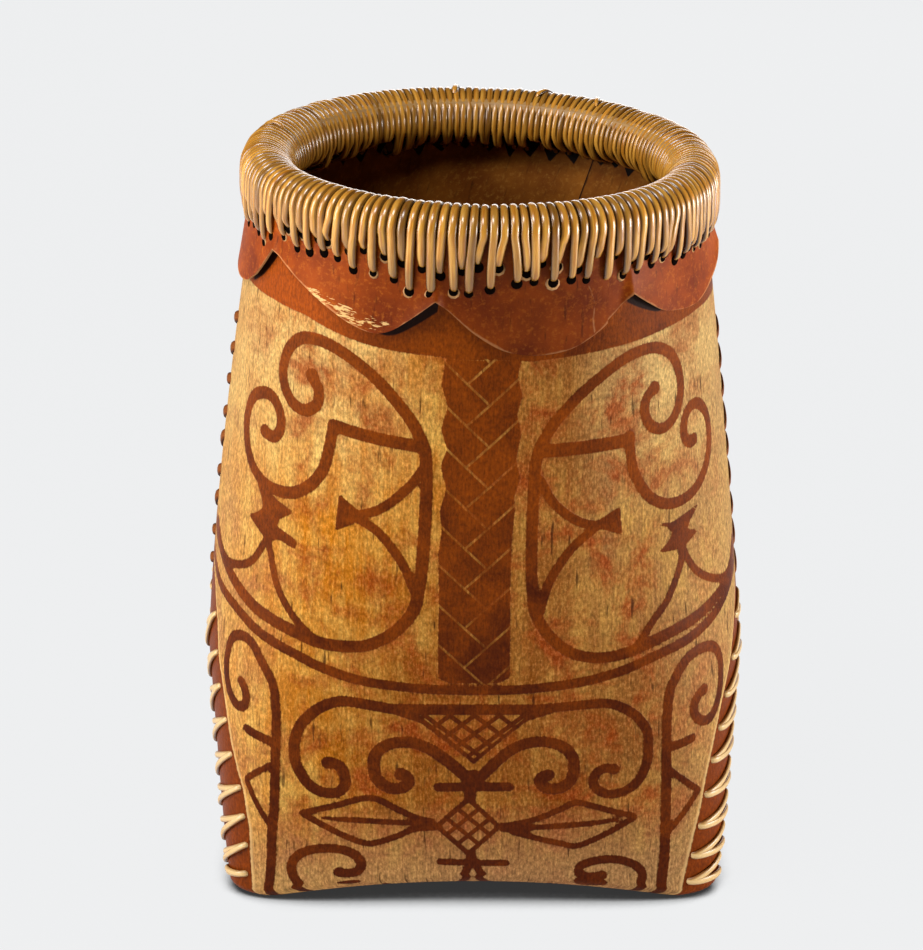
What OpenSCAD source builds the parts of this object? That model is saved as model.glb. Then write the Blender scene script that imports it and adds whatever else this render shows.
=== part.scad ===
// Birch bark basket, in millimetres.
// One long sheet of bark is folded under the base and up again as front and back. Two side gussets close
// the sides behind its edges, a lapped lining stands inside, a scalloped collar goes round the mouth, and
// split roots sew the side seams and lace a wooden hoop to the bark edge.
// X runs across the front, the front faces -Y, and the basket stands on z = 0.

/* [Body] */
// Half width of the body at its widest
belly_half_w = 103.6; // [98:0.1:110]
// Height of the widest place
belly_z = 92; // [70:1:120]
// Half width of the body at the foot
foot_half_w = 96.5; // [92:0.1:104]
// Half depth of the body at the foot
foot_half_d = 56; // [50:0.5:66]
// Thickness of the bark sheet
bark_t = 2; // [1.4:0.1:2.6]
// Radius of the folds between the base and the panels
fold_r = 5; // [4:0.1:7]
// Rise of the arched base in the middle
base_arch = 8; // [2:0.5:12]
// Width of the flat strip at each end of the base
rest_w = 16.5; // [14:0.5:24]
// Gap between the front and back edges in the upper side seams
seam_gap = 1.2; // [0.8:0.1:2]

/* [Side gussets] */
// Thickness of the gusset bark
gusset_t = 1.2; // [0.8:0.1:1.6]
// Height at which the front and back panels meet
gusset_h = 135; // [110:1:160]
// Width between the panels at the foot
gusset_foot_w = 92; // [80:1:100]
// Width of gusset that lies under each panel
gusset_lap = 15; // [12:0.5:18]
// Width of the flange that is turned in over the base
flange_w = 10; // [6:0.5:11]
// Distance of the gusset's top under the rim
gusset_top_drop = 37; // [34:1:60]

/* [Rim] */
// Outer radius of the bark at the mouth
mouth_r = 85.5; // [80:0.1:90]
// Height of the hoop's top
rim_z = 286.5; // [270:0.5:300]
// Height of the straight neck under the rim
neck_h = 20.5; // [18:0.5:26]
// Sideways lean of the mouth
mouth_lean = 2.4; // [0:0.1:6]
// Slope of the mouth down to the right, in degrees
mouth_roll = 1.5; // [0:0.1:3]
// Depth of the bark edge below the hoop's top
edge_drop = 6; // [0.5:0.1:8]
// Thickness of the hoop
inner_hoop_t = 8.8; // [7:0.1:10]
// Height of the hoop
inner_hoop_h = 15; // [13:0.5:18]

/* [Lining and collar] */
// Thickness of the lining bark
lining_t = 1; // [0.7:0.1:1.4]
// Lap of the lining's two ends, in degrees
lining_lap = 14; // [6:1:24]
// Thickness of the collar bark
collar_t = 1; // [0.8:0.1:1.5]
// Number of scallops on the collar
scallops = 7; // [5:1:9]
// Depth of a scallop
scallop_depth = 20; // [10:0.5:26]
// Distance of the scallops' cusps under the rim
cusp_drop = 33; // [31:0.5:40]
// Lift of the collar's free edge
collar_lift = 1.6; // [0.4:0.1:3]

/* [Lacing] */
// Number of roots that lace the rim
lace_strands = 6; // [4:1:6]
// Turns of each root
lace_turns = 15; // [10:1:15]
// Width of a split root on the rim
root_w = 3.6; // [2.8:0.1:3.8]
// Thickness of a split root
root_t = 1.9; // [1.4:0.1:2.2]
// Distance of the lacing holes under the rim
hole_drop = 23.5; // [22:0.1:25]
// Shift of every other hole, up and down
hole_stagger = 2.5; // [0:0.1:2.8]
// Distance from stitch to stitch in the side seams
stitch_pitch = 12.2; // [8:0.1:14]
// Distance between the two holes of a stitch
stitch_span = 16; // [12:0.1:18]
// Width of a stitch's root
stitch_w = 4; // [2.4:0.1:4.4]
// Distance of a lower stitch's middle inside the panel's edge
stitch_inset = 5; // [3:0.1:7]
// Slant of the lower stitches, in degrees
stitch_slant = 25; // [0:1:35]

/* [Fit] */
// Room left between pieces that lie on each other
clear = 0.3; // [0.25:0.01:0.4]
// Room between the panels and the gussets, which go round the same corners
gusset_clear = 0.5; // [0.45:0.01:0.6]

/* [Hidden] */
// Shape of the body: how it draws in above the belly, how its depth grows, how square its foot is, how fast
// the corners grow round on the way up, and how the lean and the slope of the mouth set in
shoulder_power = 1.3;
depth_power = 0.8;
square_power = 3;
foot_power = 8;
round_z = rim_z * 0.7;
lean_power = 3;
slope_power = 2;

// How the collar bends away from the bark towards its free edge
lift_power = 4;

// Heights that follow from the rim
neck_z = rim_z - neck_h;
bark_top = rim_z - edge_drop;
gusset_top = rim_z - gusset_top_drop;
lining_foot = base_arch + bark_t + fold_r;
arch_half_w = foot_half_w - rest_w;

// Depth of each layer, from the outer face of the bark sheet inwards
gusset_in = bark_t + gusset_clear;
behind_gusset = gusset_in + gusset_t + clear;
lining_step = lining_t + clear;
collar_step = collar_t + clear;

// Where the spiral sheets start, and the first cusp, in degrees from the front
lining_start = 150;
collar_start = 27;
collar_lap = 5;
first_cusp = -61.5;

// Outer radius of the lapped collar, outer radius of the hoop, and how round the hoop's edges are
collar_r = mouth_r + 2 * collar_step;
inner_hoop_r = mouth_r - gusset_in - 2 * lining_step;
inner_corner = inner_hoop_t * 0.48;

// Grid steps of the sheets
panel_cols = 32;
panel_rows = 15;
row_power = 1.2;
base_rows = 5;
gusset_cols = 14;
lining_cols = 48;
lining_rows = 7;
collar_rows = 6;
collar_per_scallop = 8;
fold_angles = [30, 60, 90];

bark_red = [0.60, 0.30, 0.14];
bark_light = [0.80, 0.60, 0.33];
root_light = [0.82, 0.64, 0.38];
root_dark = [0.45, 0.25, 0.12];
hoop_wood = [0.70, 0.52, 0.32];

// Half width, half depth, squareness and lean of the body at a height
function draw_in(z) = pow(min(1, (z - belly_z) / (neck_z - belly_z)), shoulder_power);
function half_w(z) = z > belly_z
  ? belly_half_w - (belly_half_w - mouth_r) * draw_in(z)
  : belly_half_w - (belly_half_w - foot_half_w) * (belly_z - z) / belly_z;
function half_d(z) = foot_half_d + (mouth_r - foot_half_d) * pow(min(1, z / neck_z), depth_power);
function plan_power(z) = 2 + (foot_power - 2) * pow(max(0, 1 - z / round_z), square_power);
function lean(z) = mouth_lean * pow(max(0, min(1, z / neck_z)), lean_power);

// How far a point of the wall sinks with the sloping mouth
function sink(x, z) =
  tan(mouth_roll) * (x - lean(rim_z)) * pow(max(0, min(1, z / neck_z)), slope_power);

// Point of the wall at an angle from the front, a height and a distance out of the bark's outer face
function wall(phi, z, out) =
  let (
    n = plan_power(z),
    across = pow(abs(sin(phi)) / (half_w(z) + out), n),
    along = pow(abs(cos(phi)) / (half_d(z) + out), n),
    r = 1 / pow(across + along, 1 / n),
    x = lean(z) + r * sin(phi)
  )
  [x, -r * cos(phi), z - sink(x, z)];

// Direction in plan that the wall faces, in degrees from +X
function facing(phi, z) = let (t = wall(phi + 1, z, 0) - wall(phi - 1, z, 0)) atan2(-t.x, t.y);

// Half of the open width between the panels at a height, and the angle of the panels' edges there
function half_gap(z) = seam_gap / 2 + (gusset_foot_w - seam_gap) / 2 * max(0, 1 - z / gusset_h);
function edge_phi(z) = 90 - atan(half_gap(z) / half_w(z));

// Point on a fold: turn 0 is on the wall and turn 90 on the base
function fold_point(phi, foot, turn, out) =
  let (
    r = fold_r + out,
    p = wall(phi, foot + fold_r, r * cos(turn) - fold_r)
  )
  [p.x, p.y, foot + fold_r - r * sin(turn)];

function flip_y(p) = [p.x, -p.y, p.z];

// Closed slab between two grids of points. Rows run down and columns run to the right, seen from outside.
module slab(outer, inner) {
  rows = len(outer);
  cols = len(outer[0]);
  count = rows * cols;
  outer_faces = [
    for (i = [0:rows - 2], j = [0:cols - 2]) let (a = i * cols + j, b = a + cols)
      each [[a, a + 1, b + 1], [a, b + 1, b]]
  ];
  inner_faces = [for (f = outer_faces) [f[2] + count, f[1] + count, f[0] + count]];
  border = concat(
    [for (j = [0:cols - 1]) j],
    [for (i = [1:rows - 1]) i * cols + cols - 1],
    [for (j = [cols - 2:-1:0]) (rows - 1) * cols + j],
    [for (i = [rows - 2:-1:1]) i * cols]
  );
  edge_faces = [
    for (k = [0:len(border) - 1]) let (a = border[k], b = border[(k + 1) % len(border)])
      each [[b, a, a + count], [b, a + count, b + count]]
  ];
  polyhedron(
    concat([for (row = outer) each row], [for (row = inner) each row]),
    concat(outer_faces, inner_faces, edge_faces)
  );
}

// Rise of the base at a distance from the middle, and under a column of the bark sheet, where u runs from -1
// at the left edge to 1
function base_rise(x) = base_arch * max(0, 1 - pow(x / arch_half_w, 2));
function foot_rise(u) = base_rise(wall(u * edge_phi(0), 0, 0).x);

// Heights of the rows over a fold: the top one at the bark's edge, the next at the neck, and the rest closer
// together near the foot, where the corners change most
function row_z(low, i) = i == panel_rows
  ? bark_top
  : low + (neck_z - low) * pow(i / (panel_rows - 1), row_power);

function panel_point(u, i, out) =
  let (z = row_z(foot_rise(u) + fold_r, i))
  wall(u * edge_phi(z), z, out);

function sheet_fold_point(u, turn, out) =
  let (foot = foot_rise(u))
  fold_point(u * edge_phi(foot + fold_r), foot, turn, out);

// One column of the folded sheet: down the front, under the base and up the back
function sheet_column(u, out) =
  let (
    front = [for (i = [panel_rows:-1:0]) panel_point(u, i, out)],
    fold = [for (turn = fold_angles) sheet_fold_point(u, turn, out)],
    half = concat(front, fold),
    end = half[len(half) - 1],
    base = [for (i = [1:base_rows - 1]) [end.x, end.y * (1 - 2 * i / base_rows), end.z]]
  )
  concat(half, base, [for (i = [len(half) - 1:-1:0]) flip_y(half[i])]);

function rows_of(columns) = [for (i = [0:len(columns[0]) - 1]) [for (c = columns) c[i]]];

// Columns stand closer together near the edges, where the sheet bends round the corners
function column_u(s) = s * (5 - s * s) / 4;

module body_sheet() {
  us = [for (j = [0:panel_cols]) column_u(2 * j / panel_cols - 1)];
  color(bark_light)
    slab(
      rows_of([for (u = us) sheet_column(u, 0)]),
      rows_of([for (u = us) sheet_column(u, -bark_t)])
    );
}

function gusset_phi(side, c, z) = side * 90 + c * atan((half_gap(z) + gusset_lap) / half_w(z));

function flange_point(phi, share, out) =
  let (p = wall(phi, fold_r, -fold_r - flange_w * share))
  [p.x, p.y, base_rise(p.x) - out];

// Rows of a gusset, at the heights of the rows of the panels' edges that lie on it
edge_heights = [for (i = [panel_rows:-1:0]) row_z(fold_r, i)];
gusset_heights = concat([gusset_top], [for (z = edge_heights) if (z < gusset_top - fold_r) z]);

// One column of a gusset: down the side, round the fold and in over the base
function gusset_column(side, c, out) =
  let (foot_phi = gusset_phi(side, c, fold_r))
  concat(
    [for (z = gusset_heights) wall(gusset_phi(side, c, z), z, out)],
    [for (turn = fold_angles) fold_point(foot_phi, 0, turn, out)],
    [for (share = [0.5, 1]) flange_point(foot_phi, share, out)]
  );

module gusset(side) {
  cs = [for (j = [0:gusset_cols]) column_u(2 * j / gusset_cols - 1)];
  color(bark_red)
    slab(
      rows_of([for (c = cs) gusset_column(side, c, -gusset_in)]),
      rows_of([for (c = cs) gusset_column(side, c, -gusset_in - gusset_t)])
    );
}

module left_gusset() {
  gusset(-1);
}

module right_gusset() {
  gusset(1);
}

// Depth of the lining: behind the gussets below, close to the bark sheet in the neck
function lining_depth(z) =
  let (share = max(0, min(1, (neck_z - z) / (neck_z - gusset_top))))
  gusset_in + (behind_gusset - gusset_in) * share;

// Rows of the lining: one at the top and one at the neck, the rest spread from the gussets' top to the foot
lining_heights = concat(
  [bark_top, neck_z],
  [for (i = [0:lining_rows]) gusset_top - (gusset_top - lining_foot) * i / lining_rows]
);

module lining() {
  turn = 360 + lining_lap;
  function point(z, share, thick) =
    wall(lining_start + turn * share, z, -lining_depth(z) - lining_step * share * turn / 360 - thick);
  function row(z, thick) = [for (j = [0:lining_cols]) point(z, j / lining_cols, thick)];
  function face(thick) = [for (z = lining_heights) row(z, thick)];
  color(bark_red)
    slab(face(0), face(lining_t));
}

// Height of the collar's scalloped lower edge
function scallop_z(phi) =
  let (part = (phi - first_cusp) * scallops / 360)
  rim_z - cusp_drop - scallop_depth * abs(sin(180 * part));

module scalloped_collar() {
  cols = scallops * collar_per_scallop;
  turn = 360 + collar_lap;
  function point(i, j, thick) =
    let (
      share = j / cols,
      phi = collar_start + turn * share,
      down = i / collar_rows,
      z = bark_top - (bark_top - scallop_z(phi)) * down,
      lift = collar_lift * pow(down, lift_power)
    )
    wall(phi, z, clear + collar_step * share * turn / 360 + lift + thick);
  color(bark_red)
    slab(
      [for (i = [0:collar_rows]) [for (j = [0:cols]) point(i, j, collar_t)]],
      [for (i = [0:collar_rows]) [for (j = [0:cols]) point(i, j, 0)]]
    );
}

// Rounded rectangle with its lower left corner at the origin
module rounded(w, h, r, steps = 4) {
  polygon([
    for (q = [0:3], s = [0:steps])
      let (turn = 90 * (q + s / steps))
      [
        (q == 0 || q == 3 ? w - r : r) + r * cos(turn),
        (q < 2 ? h - r : r) + r * sin(turn)
      ]
  ]);
}

// Slopes what goes round the mouth, as the wall slopes there
module sloped() {
  slope = tan(mouth_roll);
  multmatrix([[1, 0, 0, 0], [0, 1, 0, 0], [-slope, 0, 1, slope * lean(rim_z)]])
    children();
}

module inner_hoop() {
  color(hoop_wood)
    sloped()
      translate([lean(rim_z), 0, rim_z - inner_hoop_h])
        rotate_extrude($fn = 96)
          translate([inner_hoop_r - inner_hoop_t, 0])
            rounded(inner_hoop_t, inner_hoop_h, inner_corner);
}

// The rim lacing: each turn goes up on the collar, over the bark's edge and the hoop, down inside and out
// through the bark
lace_gap = clear + root_t / 2;
lace_out = collar_r + lace_gap;
lace_in = inner_hoop_r - inner_hoop_t - lace_gap;
lace_top = rim_z + lace_gap;
lace_low = rim_z - inner_hoop_h - lace_gap;
lace_pitch = 360 / (lace_strands * lace_turns);
lace_corners = 7;
lace_sides = 6;
mitre_limit = 1.3;

// How much of a square corner a turn cuts off where it goes round an edge, keeping its gap: round the bark's
// square edge outside and round the hoop inside
function corner_cut(edge_r) = (2 - sqrt(2)) * (lace_gap + edge_r);
lace_shoulder = bark_top + lace_gap - corner_cut(0);
cut_out = lace_top - lace_shoulder;
cut_in = corner_cut(inner_corner);

// Corner of a turn as radius and height; shift moves the turn's hole up or down
function lace_corner(corner, shift) = [
  [lace_out, rim_z - hole_drop + shift],
  [lace_out, lace_shoulder],
  [lace_out - cut_out, lace_top],
  [lace_in + cut_in, lace_top],
  [lace_in, lace_top - cut_in],
  [lace_in, lace_low + cut_in],
  [lace_in + cut_in, lace_low]
][corner];

// Stations of one strand as angle, radius and height. Both ends run straight and square to the bark.
function lace_stations(strand) =
  let (start = strand * 360 / lace_strands)
  concat(
    [[start, mouth_r - bark_t / 2, rim_z - hole_drop + hole_stagger]],
    [
      for (turn = [0:lace_turns - 1], corner = [0:lace_corners - 1])
        let (p = lace_corner(corner, hole_stagger * (turn % 2 == 0 ? 1 : -1)))
        [start + lace_pitch * (turn + corner / lace_corners), p[0], p[1]]
    ],
    [[start + lace_pitch * (lace_turns - 1 / lace_corners), inner_hoop_r - clear, lace_low]]
  );

// Direction from one station to the next, in radius and height
function heading(a, b) = a == b ? [0, 0] : let (d = [b[1] - a[1], b[2] - a[2]]) d / norm(d);

// Ring of a flattened tube at a station, square to the way that the root runs there
function lace_ring(stations, i) =
  let (
    s = stations[i],
    last = len(stations) - 1,
    from = heading(stations[max(0, i - 1)], s),
    to = heading(s, stations[min(last, i + 1)]),
    way = (from + to) / norm(from + to),
    mitre = i == 0 || i == last ? 1 : min(mitre_limit, 2 / norm(from + to))
  )
  [
    for (m = [0:lace_sides - 1])
      let (
        a = 360 * m / lace_sides,
        side = root_w / 2 * cos(a),
        thick = mitre * root_t / 2 * sin(a),
        r = s[1] + thick * way[1],
        z = s[2] - thick * way[0]
      )
      [lean(rim_z) + r * sin(s[0]) + side * cos(s[0]), -r * cos(s[0]) + side * sin(s[0]), z]
  ];

function lace_rings(strand) =
  let (stations = lace_stations(strand))
  [for (i = [0:len(stations) - 1]) lace_ring(stations, i)];

// Least distance between points of neighbouring turns of one strand
function lace_self_gap(rings) = min([
  for (i = [1:len(rings) - lace_corners - 2], a = rings[i], b = rings[i + lace_corners]) norm(a - b)
]);

// Tube through rings of points, with flat ends
module tube(rings) {
  sides = len(rings[0]);
  last = (len(rings) - 1) * sides;
  walls = [
    for (i = [0:len(rings) - 2], m = [0:sides - 1])
      let (a = i * sides + m, b = i * sides + (m + 1) % sides)
      each [[a, b, b + sides], [a, b + sides, a + sides]]
  ];
  caps = [for (m = [1:sides - 2]) each [[0, m + 1, m], [last, last + m, last + m + 1]]];
  polyhedron([for (ring = rings) each ring], concat(walls, caps));
}

module rim_lacing(strand) {
  rings = lace_rings(strand);
  echo(str("rim lacing ", strand + 1, ": least gap to itself ", lace_self_gap(rings), " mm"));
  color(root_light)
    sloped()
      tube(rings);
}

// Split root: flat towards the bark, round outside
module root_section(w, t) {
  r = (w * w / 4 + t * t) / (2 * t);
  intersection() {
    translate([t - r, 0])
      circle(r, $fn = 48);
    translate([0, -w / 2])
      square([t, w]);
  }
}

// Bow of a stitch: it lies on the bark in the middle and reaches through the gusset at its ends
stitch_sag = gusset_in + gusset_t + clear;
stitch_r = (stitch_span * stitch_span / 4 + stitch_sag * stitch_sag) / (2 * stitch_sag);
stitch_turn = 2 * asin(stitch_span / 2 / stitch_r);

// One stitch: a bow of root that goes into the bark on both sides of a panel's edge
module stitch(phi, z, slant) {
  translate(wall(phi, z, 0))
    rotate([0, 0, facing(phi, z)])
      rotate([slant, 0, 0])
        translate([clear - stitch_r, 0, 0])
          rotate([0, 0, -stitch_turn / 2])
            rotate_extrude(angle = stitch_turn, $fn = 72)
              translate([stitch_r, 0])
                root_section(stitch_w, root_t);
}

// Heights of the stitches: the lower rows climb until front and back nearly meet, the upper row goes on
stitch_first = fold_r + stitch_pitch / 2;
stitch_over = stitch_span / 2 - stitch_inset;
lower_top = gusset_h * (1 - (2 * stitch_over + stitch_w) / gusset_foot_w);
lower_count = floor((lower_top - stitch_first) / stitch_pitch) + 1;
upper_first = stitch_first + stitch_pitch * lower_count;
upper_top = rim_z - cusp_drop - scallop_depth - stitch_w;
upper_count = floor((upper_top - upper_first) / stitch_pitch) + 1;

// Stitches up one panel edge; side is -1 at the left, and back is true on the back panel
module lower_stitches(side, back) {
  color(root_light)
    for (k = [0:lower_count - 1]) {
      z = stitch_first + stitch_pitch * k;
      phi = edge_phi(z) - atan(stitch_inset / half_w(z));
      stitch(side * (back ? 180 - phi : phi), z, stitch_slant);
    }
}

module upper_stitches(side) {
  color(root_dark)
    for (k = [0:upper_count - 1])
      stitch(side * 90, upper_first + stitch_pitch * k, 0);
}

body_sheet();
left_gusset();
right_gusset();
lining();
scalloped_collar();
inner_hoop();
rim_lacing(0);  // rim_lacing_1
rim_lacing(1);  // rim_lacing_2
rim_lacing(2);  // rim_lacing_3
rim_lacing(3);  // rim_lacing_4
rim_lacing(4);  // rim_lacing_5
rim_lacing(5);  // rim_lacing_6
lower_stitches(-1, false);  // left_front_stitches
lower_stitches(-1, true);  // left_back_stitches
lower_stitches(1, false);  // right_front_stitches
lower_stitches(1, true);  // right_back_stitches
upper_stitches(-1);  // left_upper_stitches
upper_stitches(1);  // right_upper_stitches
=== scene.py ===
import bpy
import math
import numpy as np
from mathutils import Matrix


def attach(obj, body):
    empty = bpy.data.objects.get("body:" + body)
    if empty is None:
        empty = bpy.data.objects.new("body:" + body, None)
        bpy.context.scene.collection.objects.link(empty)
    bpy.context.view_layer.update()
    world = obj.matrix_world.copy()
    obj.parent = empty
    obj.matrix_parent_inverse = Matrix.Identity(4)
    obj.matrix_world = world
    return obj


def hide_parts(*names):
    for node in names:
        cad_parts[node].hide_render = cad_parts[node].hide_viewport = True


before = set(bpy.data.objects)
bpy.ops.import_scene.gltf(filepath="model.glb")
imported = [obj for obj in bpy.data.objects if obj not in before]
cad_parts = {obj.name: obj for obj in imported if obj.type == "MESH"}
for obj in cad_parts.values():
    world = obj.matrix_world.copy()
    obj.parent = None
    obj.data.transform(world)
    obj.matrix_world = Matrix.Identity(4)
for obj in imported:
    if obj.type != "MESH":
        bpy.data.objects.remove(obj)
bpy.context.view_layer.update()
mm = 0.001
far = 9.0  # distances on the bark count up to here, in millimetres
tiny = 1e-9
rng = np.random.default_rng(11)  # every random draw comes from here, in the order of the file

# the wall of the basket, in millimetres, as the solids have it; angles run from the front, to the right
form = dict(bellyHalfW=103.6, bellyZ=92.0, footHalfW=96.5, footHalfD=56.0, mouthR=85.5, neckZ=266.0,
            barkTop=280.5, lean=2.4, leanPower=3.0, slope=math.tan(math.radians(1.5)), slopePower=2.0,
            footPower=8.0, footFade=3, roundZ=200.55, shoulder=1.3, deepen=0.8, foldR=5.0, arch=8.0,
            archHalfW=80.0, seamHalf=0.6, gapHalf=45.4, gussetH=135.0)


def lean(z):
    return form["lean"] * np.clip(z / form["neckZ"], 0, 1) ** form["leanPower"]


# the mouth slopes down a little to the right
def sloped(x, y, z):
    sink = form["slope"] * (x - form["lean"]) * np.clip(z / form["neckZ"], 0, 1) ** form["slopePower"]
    return np.stack([x, y, z - sink], -1)


def wall(phi, z, out=0.0):
    phi, z, out = np.broadcast_arrays(np.asarray(phi, float), np.asarray(z, float), np.asarray(out, float))
    up = np.clip((z - form["bellyZ"]) / (form["neckZ"] - form["bellyZ"]), 0, 1) ** form["shoulder"]
    down = np.clip((form["bellyZ"] - z) / form["bellyZ"], 0, None)
    halfW = form["bellyHalfW"] - (form["bellyHalfW"] - form["mouthR"]) * up
    halfW = halfW - (form["bellyHalfW"] - form["footHalfW"]) * down + out
    share = np.clip(z / form["neckZ"], 0, 1)
    halfD = form["footHalfD"] + (form["mouthR"] - form["footHalfD"]) * share ** form["deepen"] + out
    power = 2 + (form["footPower"] - 2) * np.clip(1 - z / form["roundZ"], 0, 1) ** form["footFade"]
    across, along = np.abs(np.sin(phi)) / halfW, np.abs(np.cos(phi)) / halfD
    r = 1 / (across ** power + along ** power) ** (1 / power)
    return sloped(lean(z) + r * np.sin(phi), -r * np.cos(phi), z)


def halfWidth(z):
    return wall(math.pi / 2, z)[..., 0] - wall(0.0, z)[..., 0]


# half the opening between the two panels' edges, which the gusset fills
def seamGap(z):
    return form["seamHalf"] + form["gapHalf"] * np.clip(1 - np.asarray(z, float) / form["gussetH"], 0, None)


def edgePhi(z):
    return math.pi / 2 - np.arctan(seamGap(z) / halfWidth(z))


def baseRise(x):
    return form["arch"] * np.clip(1 - (x / form["archHalfW"]) ** 2, 0, None)


# distance along the bark from the middle of the front, at one height
def arcLength(phi, z, steps=40):
    share = np.linspace(0, 1, steps + 1)
    points = wall(np.asarray(phi)[..., None] * share, np.asarray(z)[..., None])
    return np.sign(phi) * np.linalg.norm(np.diff(points, axis=-2), axis=-1).sum(-1)


# and the angle at such a distance
def phiAtArc(s, z, half=360):
    turns = np.linspace(-math.pi, math.pi, 2 * half + 1)
    points = wall(turns, z)
    run = np.concatenate([[0], np.cumsum(np.linalg.norm(np.diff(points, axis=0), axis=1))])
    return np.interp(s, run - run[half], turns)


# a smooth line through a few points
def smoothLine(points, perSpan=8):
    p = np.asarray(points, float)
    p = np.vstack([2 * p[0] - p[1], p, 2 * p[-1] - p[-2]])
    t = np.linspace(0, 1, perSpan, endpoint=False)[:, None]
    spans = []
    for i in range(1, len(p) - 2):
        a, b, c, d = p[i - 1], p[i], p[i + 1], p[i + 2]
        bend, twist = 2 * a - 5 * b + 4 * c - d, 3 * b - a - 3 * c + d
        spans.append(0.5 * (2 * b + (c - a) * t + bend * t ** 2 + twist * t ** 3))
    return np.vstack(spans + [p[-2:-1]])


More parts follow.
